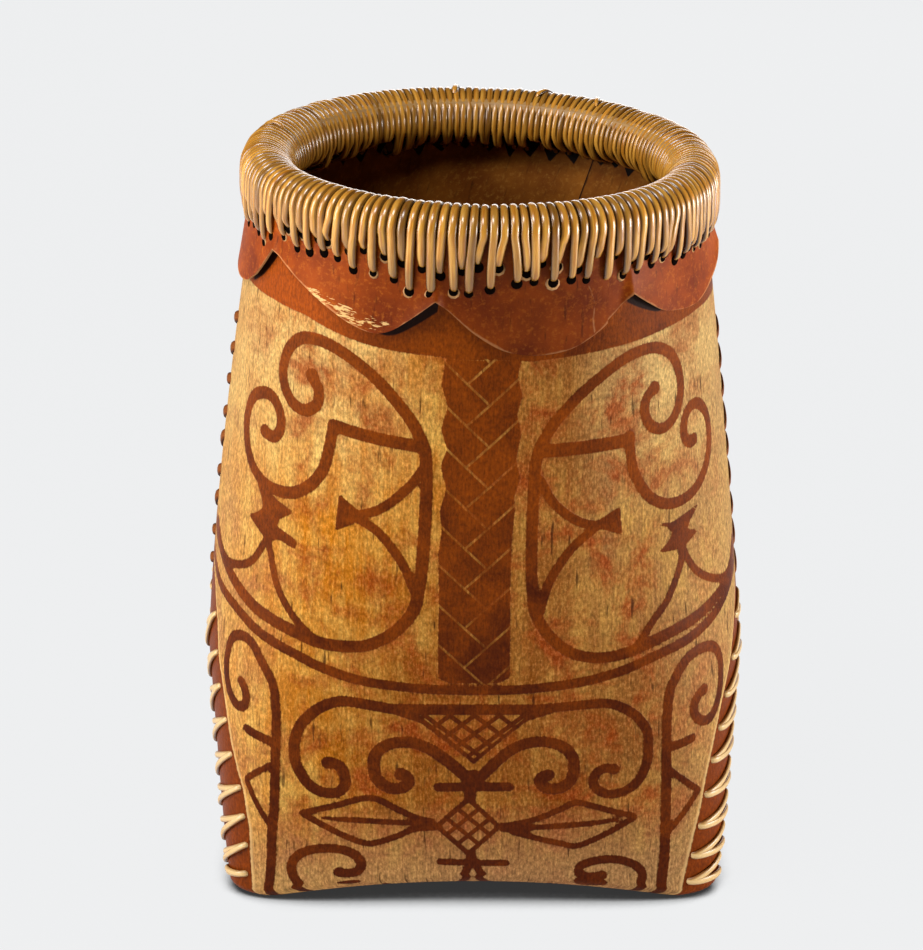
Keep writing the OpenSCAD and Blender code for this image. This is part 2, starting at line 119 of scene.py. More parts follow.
# the ornament: (distance from the middle, height) in millimetres, as cut into the bark's skin
ornament = dict(
    strokes=[  # width, points
        (4.9, [(-66, 216), (-62.5, 212), (-63, 206), (-68, 202.5), (-74, 203.5), (-79, 209), (-80.5, 216),
               (-78, 224), (-72, 229.5), (-64, 231), (-55, 229.5), (-45, 225), (-36, 218.5), (-28, 210),
               (-23, 203), (-19.5, 195), (-18.5, 187), (-18.5, 175), (-19, 160), (-20, 145), (-21, 137),
               (-23, 128), (-30, 119), (-40, 113), (-50, 111.5), (-60, 112), (-70, 114.5), (-80, 117),
               (-90, 120), (-100, 124.5), (-110, 129.5), (-122, 136), (-140, 144)]),
        (4.9, [(-90, 188.5), (-84, 188), (-80.5, 192), (-80.8, 198), (-85, 203), (-91, 203.5), (-98, 200),
               (-102, 193), (-102.5, 186), (-100, 178), (-95, 172), (-88, 168.5), (-80, 167.5), (-72, 169),
               (-65, 173.5), (-60, 180), (-57.5, 188), (-55.5, 199)]),
        (5.2, [(-55.5, 199), (-40, 197), (-22, 195.5)]),
        (3.8, [(-20, 186), (-24, 180), (-30, 173.5), (-37, 168), (-45, 165)]),
        (3.8, [(-45, 164), (-37, 159.5), (-31, 153), (-26, 145), (-22.5, 136)]),
        (3.2, [(-85, 149), (-82, 139), (-79, 131), (-74, 124), (-68, 118), (-62, 113.5)]),
        (3.2, [(-85, 148), (-92, 137.5), (-100, 133), (-110, 131.5), (-118, 135), (-126, 142)]),
        (4.6, [(71, 213), (67, 209), (66.5, 203), (70, 197.5), (76, 195.5), (82, 199), (85.5, 206),
               (85.5, 214), (82, 222), (76, 227), (68, 229), (58, 227.5), (48, 222.5), (38, 215),
               (30, 206.5), (24.5, 198), (22, 190), (21.5, 180), (21, 165), (21, 150), (21.5, 137),
               (23, 127), (28, 118), (36, 110.5), (46, 107.5), (56, 108), (64, 110), (75, 113), (88, 116),
               (100, 119.5), (112, 124), (125, 132), (140, 142)]),
        (4.6, [(94, 186), (90.5, 186), (87.5, 190), (88, 196), (92, 200), (98, 199.5), (104, 194),
               (106, 186), (104, 177), (98, 169.5), (90, 165), (80, 164), (72, 167), (66, 173), (61.5, 182),
               (60, 190), (59.5, 196)]),
        (5.6, [(25, 194), (42, 194), (59.5, 194.3)]),
        (3.8, [(24, 182), (28, 174), (34, 167.5), (41, 163), (47, 161.5)]),
        (3.8, [(46, 161), (37, 154), (31, 146), (27, 138), (24.5, 128)]),
        (3.2, [(84, 150), (84, 141), (81, 134), (76, 126), (69, 119), (63, 111)]),
        (3.2, [(84, 148), (87, 141), (92, 134), (100, 129), (110, 126), (118, 128), (126, 136)]),
        (4.0, [(-140, 134), (-126, 126.5), (-115, 121), (-100, 116.5), (-85, 110.5), (-70, 106),
               (-60, 102.5), (-50, 99.6), (-40, 97.5), (-20, 95.4), (0, 94.6), (20, 95.2), (40, 97.6),
               (55, 101), (70, 105.5), (85, 109), (100, 114), (112, 119.5), (125, 126), (140, 134)]),
        (4.5, [(-30.1, 86.3), (-40.1, 87.9), (-50.1, 88.8), (-57.2, 86.3), (-62.6, 82.1), (-67, 76.3),
               (-68.9, 68.8), (-68.4, 62.1), (-65.9, 56.3), (-62.6, 51.9), (-58, 49.4), (-53.3, 49.2),
               (-50.1, 51.7), (-49.4, 55.4), (-50.9, 60.4), (-53.8, 62.3), (-56.3, 62.1)]),
        (4.0, [(19.9, 86.3), (29.9, 87.1), (39.9, 87.9), (49.9, 88.3), (55.8, 86.3), (61.6, 82.1),
               (65.8, 75.8), (66.6, 69.2), (66.2, 62.5), (64.1, 56.3), (59.9, 51.3), (54.1, 49), (48.7, 50),
               (45.8, 53.8), (46.6, 57.9), (49.9, 60.4), (53.7, 59.8)]),
        (5.0, [(-1, 55), (-9.3, 63.3), (-15.5, 68.3), (-21.8, 71.5), (-27.6, 72.1), (-33, 70.8),
               (-37.2, 67.1), (-38.4, 61.7), (-37.2, 55.8), (-33, 52.1), (-28, 51.7), (-25.1, 54.2),
               (-25.9, 57.1), (-28, 58.3)]),
        (4.7, [(1, 55), (9.1, 64.2), (14.9, 69.3), (20.8, 71.8), (27.4, 72.3), (33.3, 70.4), (37.3, 66.3),
               (38.3, 60.8), (37, 55.4), (33.3, 52.1), (28.3, 51.8), (25.3, 54.3), (25.9, 56.8),
               (28.7, 57.9)]),
        (4.0, [(-13.5, 52.3), (0, 52.6), (13.5, 52.6)]),
        (4.6, [(0, 58), (-1, 52), (-1.6, 46)]),
        (2.8, [(-66, 40), (-54, 43.5), (-40, 47.3), (-30, 42.6), (-21.8, 38.4), (-16, 37)]),
        (2.8, [(-65, 39.2), (-56.8, 34.2), (-48.4, 29.6), (-40, 26.8), (-30, 30), (-23.4, 33.2),
               (-15, 34.2)]),
        (2.7, [(14, 35.6), (23.3, 37.9), (33.3, 42.5), (39.1, 45.4), (45.8, 43.8), (54.9, 40.8),
               (61.6, 39.2)]),
        (2.7, [(15, 32.4), (26.6, 28.8), (33.3, 27.1), (39.1, 25.8), (45.8, 28.3), (53.3, 32.5),
               (61.6, 37.9)]),
        (3.0, [(-13, 18.6), (0, 18.2), (12.4, 18.2)]),
        (3.2, [(-1.5, 23), (-1.8, 17), (-4.3, 11.7), (-6.5, 9)]),
        (3.2, [(-1, 23), (1, 17), (4.1, 11.7), (8.3, 9)]),
        (4.1, [(-67, 6.5), (-70, 11.7), (-70.5, 16.7), (-67.6, 21.3), (-62.6, 23.8), (-56.8, 24.6),
               (-50, 23.8), (-45.5, 21.3), (-43.4, 17.5), (-45, 14.2), (-49.3, 13.3), (-52.2, 13.8)]),
        (3.8, [(65, 7), (65.8, 12.5), (63.3, 16.3), (58.3, 18.8), (52.4, 19.6), (46.6, 18.8), (41.6, 16.7),
               (40.8, 13.3), (44.1, 11.7), (49.9, 12.1)]),
        (4.0, [(-81, 0), (-79.4, 10), (-78.5, 20), (-78.1, 30), (-77, 40), (-76.6, 50), (-76.4, 60),
               (-76.2, 70), (-76.2, 80), (-77.4, 90), (-79.1, 94.2), (-82.3, 98.4), (-85, 101.5),
               (-87.5, 104.7), (-91.7, 106.9), (-95.8, 106.9), (-100, 105), (-102.2, 100.5), (-102.8, 94.9),
               (-101.9, 88.7), (-99.7, 83.8), (-95.8, 80.2), (-92, 79.9), (-90.1, 82.4), (-90.6, 86.6),
               (-93, 90)]),
        (4.2, [(73, 0), (73.5, 10), (74.2, 20), (74.2, 40), (74, 60), (74, 70), (74.2, 80), (75.4, 90),
               (77.4, 94), (80.6, 98.4), (84.8, 101.9), (90.3, 103.6), (95.9, 103.3), (100.1, 101.2),
               (102.8, 96.3), (102.8, 90.8), (102.2, 85.2), (99.4, 79), (95.2, 75), (90.3, 75), (86.9, 78.3),
               (86.5, 82.4), (89, 85.9), (92.1, 87.6)]),
        (3.8, [(-89.2, 71.8), (-84, 70.3), (-77, 68.5)]), (3.8, [(75, 67.2), (80, 68), (85.2, 69.2)]),
        (2.7, [(-77, 60), (-84.7, 54.7), (-88.6, 51.4)]), (2.5, [(-88.8, 51), (-84, 41.5), (-78, 32.5)]),
        (2.8, [(75, 58), (82.7, 51.2), (87.8, 47)]), (2.6, [(87.8, 46.8), (82.7, 40.1), (75.5, 31)]),
    ],
    patches=[  # solid shapes
        [(-52.5, 172.5), (-54, 157), (-41, 164.5)], [(56, 168), (57, 156), (43, 161.8)],
        [(-93, 168), (-87, 166.3), (-80, 163.5), (-72, 161), (-79, 156.5), (-80.5, 153.5), (-75, 152),
         (-70, 150), (-71, 146.5), (-79, 148.5), (-83, 147), (-88, 148), (-97, 153.5), (-91, 156.5),
         (-88.5, 159), (-90, 163)],
        [(72, 157.5), (80, 156.5), (96, 160.5), (90, 155), (88, 151.5), (95, 150), (90, 147.5), (86, 145),
         (82, 145), (72, 145.5), (77, 148.5), (80, 152), (77.5, 155)],
        [(-30, 88.8), (30, 88.6), (30, 84.8), (20, 81.2), (10, 72.4), (0, 62.6), (-10, 71.6), (-20, 80.4),
         (-30, 84)],
        [(-15.6, 34.8), (-2, 48.8), (11, 34.8), (-2, 20.8)],
        [(-60, 38.8), (-45, 38.6), (-30, 37.6), (-22, 37.8), (-14.5, 36.6), (-14.5, 33), (-22, 32.4),
         (-24, 34.8), (-35, 35.4), (-50, 36.3), (-58, 37.4)],
        [(10, 36.8), (18, 36.6), (22, 35.4), (33, 36.4), (45, 37.2), (56, 38.6), (58, 37), (45, 34.6),
         (33, 33.6), (23, 33.2), (19.5, 31), (10, 32.6)],
        [(-13.5, 100), (-9, 97.6), (9, 97.6), (13.5, 100), (13.6, 118), (13.2, 140), (13.6, 158),
         (14.5, 170), (14.2, 176), (16.3, 184), (14.6, 191), (16.4, 202), (14.6, 209), (16.5, 217),
         (14.6, 224), (15.6, 231), (-12, 231), (-13.4, 221), (-11, 212), (-13.3, 203), (-11, 195),
         (-13.3, 188), (-11, 179), (-13.4, 170), (-12.6, 162), (-13.8, 152), (-13.4, 130), (-13.8, 112)],
    ],
    dots=[  # middle and radius
        (-65.5, 216.5, 3.1), (-89, 188.7, 2.9), (71, 212.6, 2.9), (93.5, 186.3, 2.7), (-56, 62.2, 2.7),
        (53.5, 60, 2.4), (-27.6, 57.8, 2.9), (28, 57.6, 2.7), (-52, 13.8, 2.4), (50, 12.2, 2.2),
        (-93, 89.8, 2.0), (91.8, 87.3, 2.4), (-35, 9.2, 2.0), (30.8, 9.0, 2.0), (0, 56, 4.2)],
    # lower edge of the brown band under the collar
    band=[(-150, 241), (-90, 240), (-70, 239), (-60, 236.5), (-50, 234.5), (-40, 233), (-30, 232.2),
          (0, 231.3), (20, 230.2), (40, 231.5), (60, 233), (80, 235), (100, 236.4), (150, 237)],
    # inner edge of the brown margins at the seams, as (height, distance from the middle)
    marginLeft=[(0, 86.8), (4, 86.8), (17.8, 87.5), (30, 87.6), (38.7, 89.2), (45.6, 90.3), (52.6, 93.2),
                (63.7, 97.8), (76.2, 102), (88.7, 106.8), (96.3, 110.6), (106, 114), (118, 122), (130, 134),
                (140, 160)],
    marginRight=[(0, 81.2), (6.7, 81.8), (17.8, 83.8), (28.3, 86), (40.1, 89.2), (49.8, 91.4), (57.4, 94),
                 (67.2, 98), (77.6, 102.8), (88, 109.1), (98, 115), (108, 121), (120, 129), (130, 138),
                 (140, 160)],
    lattices=[  # middle, half pitch across and up, corners of the net
        ((0.2, 72.0), (4.7, 3.95), [(-21, 84.2), (21, 84.2), (0, 65)]),
        ((-2.1, 34.8), (4.4, 4.15), [(-12.6, 34.8), (-2, 45.8), (8.4, 34.8), (-2, 23.8)])],
    braid=dict(leftFrom=217.5, rightFrom=208.5, pitch=16.7, low=97.5, high=231.0, middle=1.3, half=17.0))


def insidePolygon(s, z, corners):
    inside = np.zeros(s.shape, bool)
    for (ax, ay), (bx, by) in zip(corners, corners[1:] + corners[:1]):
        crosses = (ay > z) != (by > z)
        rise = by - ay if by != ay else tiny
        inside ^= crosses & (s < ax + (z - ay) * (bx - ax) / rise)
    return inside


def lineDistance(s, z, points):
    best = np.full(s.shape, far)
    p = np.asarray(points, float)
    for a, b in zip(p[:-1], p[1:]):
        d = b - a
        t = np.clip(((s - a[0]) * d[0] + (z - a[1]) * d[1]) / max(d @ d, tiny), 0, 1)
        best = np.minimum(best, np.hypot(s - a[0] - t * d[0], z - a[1] - t * d[1]))
    return best


# signed distance to the brown skin that was left standing, less than nothing inside it; a stroke is measured
# in parts of a few points, each only against what is near it
def stainDistance(s, z, span=10):
    stain = np.full(s.shape, far)

    def nearby(points):
        p = np.asarray(points, float)
        low, high = p.min(0) - far, p.max(0) + far
        return (s > low[0]) & (s < high[0]) & (z > low[1]) & (z < high[1])

    for width, points in ornament["strokes"]:
        line = smoothLine(points, 5)
        for k in range(0, len(line) - 1, span):
            part = line[k:k + span + 1]
            near = nearby(part)
            stain[near] = np.minimum(stain[near], lineDistance(s[near], z[near], part) - width / 2)
    for corners in ornament["patches"]:
        near = nearby(corners)
        d = lineDistance(s[near], z[near], corners + corners[:1])
        stain[near] = np.minimum(stain[near], np.where(insidePolygon(s[near], z[near], corners), -d, d))
    for x, y, r in ornament["dots"]:
        stain = np.minimum(stain, np.hypot(s - x, z - y) - r)
    band = np.array(ornament["band"])
    return np.minimum(stain, np.interp(s, band[:, 0], band[:, 1]) - z)


# the same for the brown margins at the seams
def marginDistance(s, z):
    left, right = np.array(ornament["marginLeft"]), np.array(ornament["marginRight"])
    return np.where(s < 0, np.interp(z, left[:, 0], left[:, 1]) + s,
                    np.interp(z, right[:, 0], right[:, 1]) - s)


def linear(hexCode):
    parts = [int(hexCode[i:i + 2], 16) / 255 for i in (1, 3, 5)]
    return tuple(c / 12.92 if c <= 0.04045 else ((c + 0.055) / 1.055) ** 2.4 for c in parts) + (1.0,)


# adds one node and gives its output: lower case keys are the node's own settings and come first, the others
# are sockets, which take a value or the outputs of other nodes; a kind named in short is a shader node
def add(tree, kind, values=None, out=None):
    named = kind.startswith(("Geometry", "Function", "NodeGroup"))
    made = tree.nodes.new(kind if named else "ShaderNode" + kind)
    for key, value in (values or {}).items():
        if isinstance(key, str) and key[0].islower():
            setattr(made, key, value)
            continue
        byName = (s for s in made.inputs if s.enabled and s.name == key)
        socket = made.inputs[key] if isinstance(key, int) else next(byName)
        for source in value if isinstance(value, list) else [value]:
            if isinstance(source, bpy.types.NodeSocket):
                tree.links.new(source, socket)
            else:
                socket.default_value = source
    return made.outputs[out] if out else next((s for s in made.outputs if s.enabled), None)


def startMaterial(name, roughness, specular=0.5):
    made = bpy.data.materials.new(name)
    made.use_nodes = True
    shader = made.node_tree.nodes["Principled BSDF"]
    shader.inputs["Roughness"].default_value = roughness
    shader.inputs["Specular IOR Level"].default_value = specular
    return made, made.node_tree, shader


# links a surface's colour, and its relief where it has one: heights, strength, and depth in mm
def dress(tree, shader, colour, heights=None, strength=0.0, deep=0.0):
    tree.links.new(colour, shader.inputs["Base Color"])
    if heights:
        bump = add(tree, "Bump", {"Strength": strength, "Distance": deep * mm, "Height": heights})
        tree.links.new(bump, shader.inputs["Normal"])


# birch bark scraped down to its pale layers: blotched gold and cream, fine upright fibres, dark pores; the
# brown skin that was left standing is smoother and a little glossy
scraped = dict(
    specular=0.06, groundRough=0.62, skinRough=0.44, bump=0.6, bumpMm=0.3, grainRelief=0.35,
    gold="#CC7A12", tan="#A4703A", cream="#E4AE50", amber="#8C4A0A", straw="#EAC680", rust="#9C3A05",
    # the side colour is a painted sheen of the side light
    pale="#BE9260", side="#CCA266", fleck="#F0CE8A", pore="#341404", edge="#E4BA7C", skin="#541E01",
    # the last of these colours is a painted shadow, for under the collar's lifted ends
    skinLight="#863C03", band="#A84A08", margin="#7E3608", gap="#140602",
    # noise: size in mm, stretch upwards, shift, detail, roughness, distortion
    noise=dict(
        blotch=(30.0, 1.0, (0.0, 0.0, 0.0), 6.0, 0.62, 0.0),
        rust=(19.0, 1.0, (31.0, 7.0, 50.0), 7.0, 0.68, 0.4),
        streak=(6.0, 0.12, (11.0, 5.0, 0.0), 5.0, 0.66, 0.0),
        fine=(1.05, 0.5, (0.0, 0.0, 0.0), 4.0, 0.7, 0.0), fibre=(0.7, 0.07, (0.0, 0.0, 0.0), 3.0, 0.6, 0.0),
        pore=(2.0, 0.12, (90.0, 0.0, 0.0), 2.0, 0.5, 0.0)),
    streakShare=0.45, ragged=1.1, skinGrain=0.8, skinTone=(0.36, 0.68),
    # distances along the bark from these places, in mm
    places=dict(outward=0.0, aside=10.0, besideBraid=27.0),
    # shares: what each is read from, the span there, and what that span becomes
    shares=dict(
        tan=("x", -40.0, 50.0, 0.0, 1.0), mottle=("mixed", 0.44, 0.61, 0.0, 1.0),
        calm=("x", -40.0, 50.0, 1.0, 0.55),
        # aged to amber low in the middle and beside the braid, and bleached to straw high at the sides
        low=("z", 160.0, 95.0, 0.0, 0.8), beside=("besideBraid", 24.0, 8.0, 0.0, 0.58),
        middle=("aside", 92.0, 36.0, 0.0, 1.0), ageing=("mixed", 0.4, 0.58, 1.25, 0.6),
        high=("z", 160.0, 215.0, 0.0, 0.5), wide=("aside", 24.0, 56.0, 0.0, 1.0),
        bleaching=("mixed", 0.4, 0.58, 0.55, 1.3),
        rust=("rust", 0.47, 0.64, 0.0, 0.8), pale=("z", 46.0, 12.0, 0.0, 0.6),
        # side: painted sheen, paler towards the sides where the side light grazes
        side=("outward", 66.0, 114.0, 0.0, 0.55), fleck=("fine", 0.5, 0.7, 0.0, 0.1),
        speckle=("fine", 0.36, 0.66, 0.52, 1.22),
        fibres=("fibre", 0.3, 0.7, 0.74, 1.14), pore=("pore", 0.645, 0.72, 0.0, 0.75),
        # the skin, its margin at the seams, and the pale lip beside that
        skin=("stain", 0.25, -0.2, 0.0, 1.0), margin=("margin", 0.2, -0.2, 0.0, 1.0),
        edge=("margin", 1.5, 0.5, 0.0, 0.55),
        # thin lines scored through the braid, each to one side of its middle
        lineX=("braidX", 0.048, 0.028, 0.0, 1.0), lineY=("braidY", 0.048, 0.028, 0.0, 1.0),
        reachX=("x", 4.4, 3.4, 0.0, 1.0), reachY=("x", -4.4, -3.4, 0.0, 1.0),
        uneven=("streak", 0.38, 0.62, 0.25, 1.0), inBraid=("braidZ", 0.4, 0.6, 0.0, 0.62),
        # cells scraped out of the two nets
        cellX=("netX", 0.13, 0.18, 0.0, 1.0), cellY=("netY", 0.13, 0.18, 0.0, 1.0),
        inNet=("netZ", 0.1, -0.3, 0.0, 1.0),
        # the skin is lighter higher up, and so is the band under the collar to the left; last, the painted
        # shadow under the collar's lifted ends
        lifted=("z", 40.0, 190.0, -0.12, 0.1), inBand=("z", 231.0, 236.0, 0.0, 0.85),
        leftward=("x", -28.0, -66.0, 0.0, 1.0), gap=("shade", 0.3, -0.3, 0.0, 0.95)),
    # shares made of those: by multiplying them, or as the greatest of them
    joined=[
        ("cream", "MULTIPLY", "mottle", "calm"), ("grain", "MULTIPLY", "speckle", "fibres"),
        ("amber", "MAXIMUM", "low", "beside"), ("amber", "MULTIPLY", "amber", "middle", "ageing"),
        ("straw", "MULTIPLY", "high", "wide", "bleaching"), ("band", "MULTIPLY", "inBand", "leftward"),
        ("scoreX", "MULTIPLY", "lineX", "reachX"), ("scoreY", "MULTIPLY", "lineY", "reachY"),
        ("score", "MAXIMUM", "scoreX", "scoreY"), ("score", "MULTIPLY", "score", "uneven", "inBraid"),
        ("cell", "MULTIPLY", "cellX", "cellY", "inNet"), ("lost", "MAXIMUM", "score", "cell")],
    groundLayers=("tan", "cream", "amber", "straw", "rust", "pale", "side", "fleck", "grain", "pore",
                  "edge"),
    skinLayers=("skinLight", "band", "margin"))


def makeScrapedBark(look=scraped):
    bark, tree, shader = startMaterial("scrapedBirchBark", look["groundRough"], look["specular"])
    place = add(tree, "Attribute", {"attribute_name": "place"}, "Vector")
    axes = add(tree, "SeparateXYZ", {"Vector": place}).node.outputs
    read = dict(x=axes["X"], z=axes["Y"])
    for key, (size, stretch, shift, detail, rough, warp) in look["noise"].items():
        at = add(tree, "Mapping", {"Vector": place, "Location": shift, "Scale": (1.0, stretch, 1.0)})
        read[key] = add(tree, "TexNoise", {"Vector": at, "Scale": 1 / size, "Detail": detail,
                                           "Roughness": rough, "Distortion": warp})
    read["mixed"] = add(tree, "Mix", {"data_type": "FLOAT", "Factor": look["streakShare"],
                                      "A": read["blotch"], "B": read["streak"]})
    for key, start in look["places"].items():
        away = add(tree, "Math", {"operation": "SUBTRACT", 0: axes["X"], 1: start})
        read[key] = add(tree, "Math", {"operation": "ABSOLUTE", 0: away})
    for key in ("braid", "net"):  # counted in turns on X and Y, and Z says where it is
        turns = add(tree, "Attribute", {"attribute_name": key}, "Vector")
        turns = add(tree, "SeparateXYZ", {"Vector": turns}).node.outputs
        for axis in "XY":
            read[key + axis] = add(tree, "Math", {"operation": "PINGPONG", 0: turns[axis], 1: 0.5})
        read[key + "Z"] = turns["Z"]
    ragged = add(tree, "Math", {"operation": "MULTIPLY_ADD", 0: read["fine"], 1: look["ragged"],
                                2: -look["ragged"] / 2})
    for key in ("stain", "margin"):
        distance = add(tree, "Attribute", {"attribute_name": key}, "Fac")
        read[key] = add(tree, "Math", {"operation": "ADD", 0: distance, 1: ragged})
    read["shade"] = add(tree, "Attribute", {"attribute_name": "shade"}, "Fac")
    share = {}
    for key, (source, *span) in look["shares"].items():
        ends = dict(zip(("From Min", "From Max", "To Min", "To Max"), span))
        share[key] = add(tree, "MapRange", {"Value": read[source], **ends})
    for key, how, first, *others in look["joined"]:
        whole = share[first]
        for other in others:
            whole = add(tree, "Math", {"operation": how, 0: whole, 1: share[other]})
        share[key] = whole
    ground, skin = linear(look["gold"]), linear(look["skin"])
    for key in look["groundLayers"]:
        over = {"Factor": share[key], "B": linear(look[key])} if key in look else {
            "blend_type": "MULTIPLY", "Factor": 1.0, "B": share[key]}
        ground = add(tree, "Mix", {"data_type": "RGBA", "A": ground, **over})
    tone = add(tree, "Math", {"operation": "ADD", 0: read["rust"], 1: share["lifted"]})
    low, high = look["skinTone"]
    share["skinLight"] = add(tree, "MapRange", {"Value": tone, "From Min": low, "From Max": high})
    for key in look["skinLayers"]:
        skin = add(tree, "Mix", {"data_type": "RGBA", "Factor": share[key], "A": skin,
                                 "B": linear(look[key])})
    skin = add(tree, "Mix", {"data_type": "RGBA", "blend_type": "MULTIPLY", "Factor": look["skinGrain"],
                             "A": skin, "B": share["grain"]})
    kept = add(tree, "Math", {"operation": "SUBTRACT", 0: 1.0, 1: share["lost"]})
    kept = add(tree, "Math", {"operation": "MULTIPLY", 0: share["skin"], 1: kept})
    brown = add(tree, "Math", {"operation": "MAXIMUM", 0: kept, 1: share["margin"]})
    colour = add(tree, "Mix", {"data_type": "RGBA", "Factor": brown, "A": ground, "B": skin})
    # painted shadow: the bark is darkened under the collar's lifted ends
    colour = add(tree, "Mix", {"data_type": "RGBA", "Factor": share["gap"], "A": colour,
                               "B": linear(look["gap"])})
    gloss = add(tree, "MapRange", {"Value": brown, "To Min": look["groundRough"],
                                   "To Max": look["skinRough"]})
    tree.links.new(gloss, shader.inputs["Roughness"])
    relief = add(tree, "Math", {"operation": "MULTIPLY_ADD", 0: share["grain"], 1: look["grainRelief"],
                                2: brown})
    dress(tree, shader, colour, relief, look["bump"], look["bumpMm"])
    return bark


# bark with its skin on, as on the collar, gussets and lining: reddish brown with fine pores across the grain
skinned = dict(
    # the darkest colour is painted shade, for the notches of the lining's torn edge
    specular=0.09, bump=0.35, bumpMm=0.2, fineRelief=0.5, scuff="#DDB472", crack="#D9A066", notch="#0E0502",
    # noise: size in mm, stretch, turn, detail, roughness
    noise=dict(patch=(26.0, (1.0, 1.0, 1.0), 0.0, 6.0, 0.62), fine=(1.6, (1.0, 1.0, 1.0), 0.0, 4.0, 0.68),
               pore=(1.5, (1.0, 0.16, 1.0), 0.0, 2.0, 0.5),
               scratch=(0.9, (0.22, 1.0, 1.0), math.radians(38), 3.0, 0.6)),
    tone=(0.36, 0.66), fleck=(0.52, 0.74, 0.5), poreShade=(0.62, 0.74, 1.0, 0.55),
    # pale lines: attribute, width in mm, and how far the patches wear them away
    lines=(("lip", 0.7, 5.0), ("crack", 0.34, 1.2)), lineShare=0.36, lineMiddle=0.53, lineCore=0.3,
    scuffWeight=0.4, scuffed=(0.84, 0.9, 0.85), frontShading=(1.36, 0.62), torn=(0.3, -0.3))


def makeSkinBark(name, dark, mid, light, roughness, wearAndShade=False, torn=False, look=skinned):
    bark, tree, shader = startMaterial(name, roughness, look["specular"])
    place = add(tree, "Attribute", {"attribute_name": "place"}, "Vector")
    noise = {}
    for key in ["patch", "fine", "pore"] + ["scratch"] * wearAndShade:
        size, stretch, turn, detail, rough = look["noise"][key]
        at = add(tree, "Mapping", {"Vector": place, "Rotation": (0.0, 0.0, turn), "Scale": stretch})
        noise[key] = add(tree, "TexNoise", {"Vector": at, "Scale": 1 / size, "Detail": detail,
                                            "Roughness": rough})
    start, end = look["tone"]
    tone = add(tree, "MapRange", {"Value": noise["patch"], "From Min": start, "From Max": end})
    start, end, most = look["fleck"]
    fleck = add(tree, "MapRange", {"Value": noise["fine"], "From Min": start, "From Max": end,
                                   "To Max": most})
    start, end, bright, dim = look["poreShade"]
    shade = add(tree, "MapRange", {"Value": noise["pore"], "From Min": start, "From Max": end,
                                   "To Min": bright, "To Max": dim})
    layers = [("MIX", tone, linear(mid)), ("MIX", fleck, linear(light)), ("MULTIPLY", 1.0, shade)]
    if wearAndShade:  # a pale lip along the cut edge, a crack, scuffs on one scallop, and a darker front middle with lighter sides: the collar's own darker middle, with painted shade and light
        for key, wide, worn in look["lines"]:
            near = add(tree, "Attribute", {"attribute_name": key}, "Fac")
            away = add(tree, "Math", {"operation": "MULTIPLY_ADD", 0: noise["patch"], 1: worn,
                                      2: -look["lineMiddle"] * worn})
            near = add(tree, "Math", {"operation": "SUBTRACT", 0: near, 1: away})
            share = add(tree, "MapRange", {"Value": near, "From Min": wide,
                                           "From Max": wide * look["lineCore"], "To Max": look["lineShare"]})
            layers.append(("MIX", share, linear(look["crack"])))
        scuff = add(tree, "Attribute", {"attribute_name": "scuff"}, "Fac")
        raw = add(tree, "Math", {"operation": "MULTIPLY_ADD", 0: scuff, 1: look["scuffWeight"],
                                 2: noise["scratch"]})
        start, end, most = look["scuffed"]
        share = add(tree, "MapRange", {"Value": raw, "From Min": start, "From Max": end, "To Max": most})
        layers.append(("MIX", share, linear(look["scuff"])))
        # painted shade and light: darker towards the front middle and lighter at the sides, over the bark's
        # own darker middle
        dusk = add(tree, "Attribute", {"attribute_name": "dusk"}, "Fac")
        bright, dim = look["frontShading"]
        layers.append(("MULTIPLY", 1.0, add(tree, "MapRange",
                                            {"Value": dusk, "To Min": bright, "To Max": dim})))
    if torn:  # painted shade in the notches between the torn teeth of its upper edge, and along its lap's edge
        notch = add(tree, "Attribute", {"attribute_name": "notch"}, "Fac")
        start, end = look["torn"]
        share = add(tree, "MapRange", {"Value": notch, "From Min": start, "From Max": end})
        layers.append(("MIX", share, linear(look["notch"])))
    colour = linear(dark)
    for how, share, over in layers:
        colour = add(tree, "Mix", {"data_type": "RGBA", "blend_type": how, "Factor": share, "A": colour,
                                   "B": over})
    height = add(tree, "Math", {"operation": "MULTIPLY_ADD", 0: noise["fine"], 1: look["fineRelief"],
                                2: noise["pore"]})
    dress(tree, shader, colour, height, look["bump"], look["bumpMm"])
    return bark


# split root with its skin on: tan, long fine streaks, a soft gloss, and painted shade towards its two edges,
# as in the grooves between turns
root = dict(
    coatRough=0.27, bump=0.25, bumpMm=0.15,
    # noise along and round the root: repeats in a metre and in a turn, detail, roughness
    streaks=((60.0, 9.0, 1.0), 4.0, 0.6), tones=((16.0, 0.5, 1.0), 2.0, 0.5),
    streakSpan=(0.34, 0.66), toneSpan=(0.45, 0.72, 0.7), edgeShadeSpan=(0.185, 0.06, 0.95))


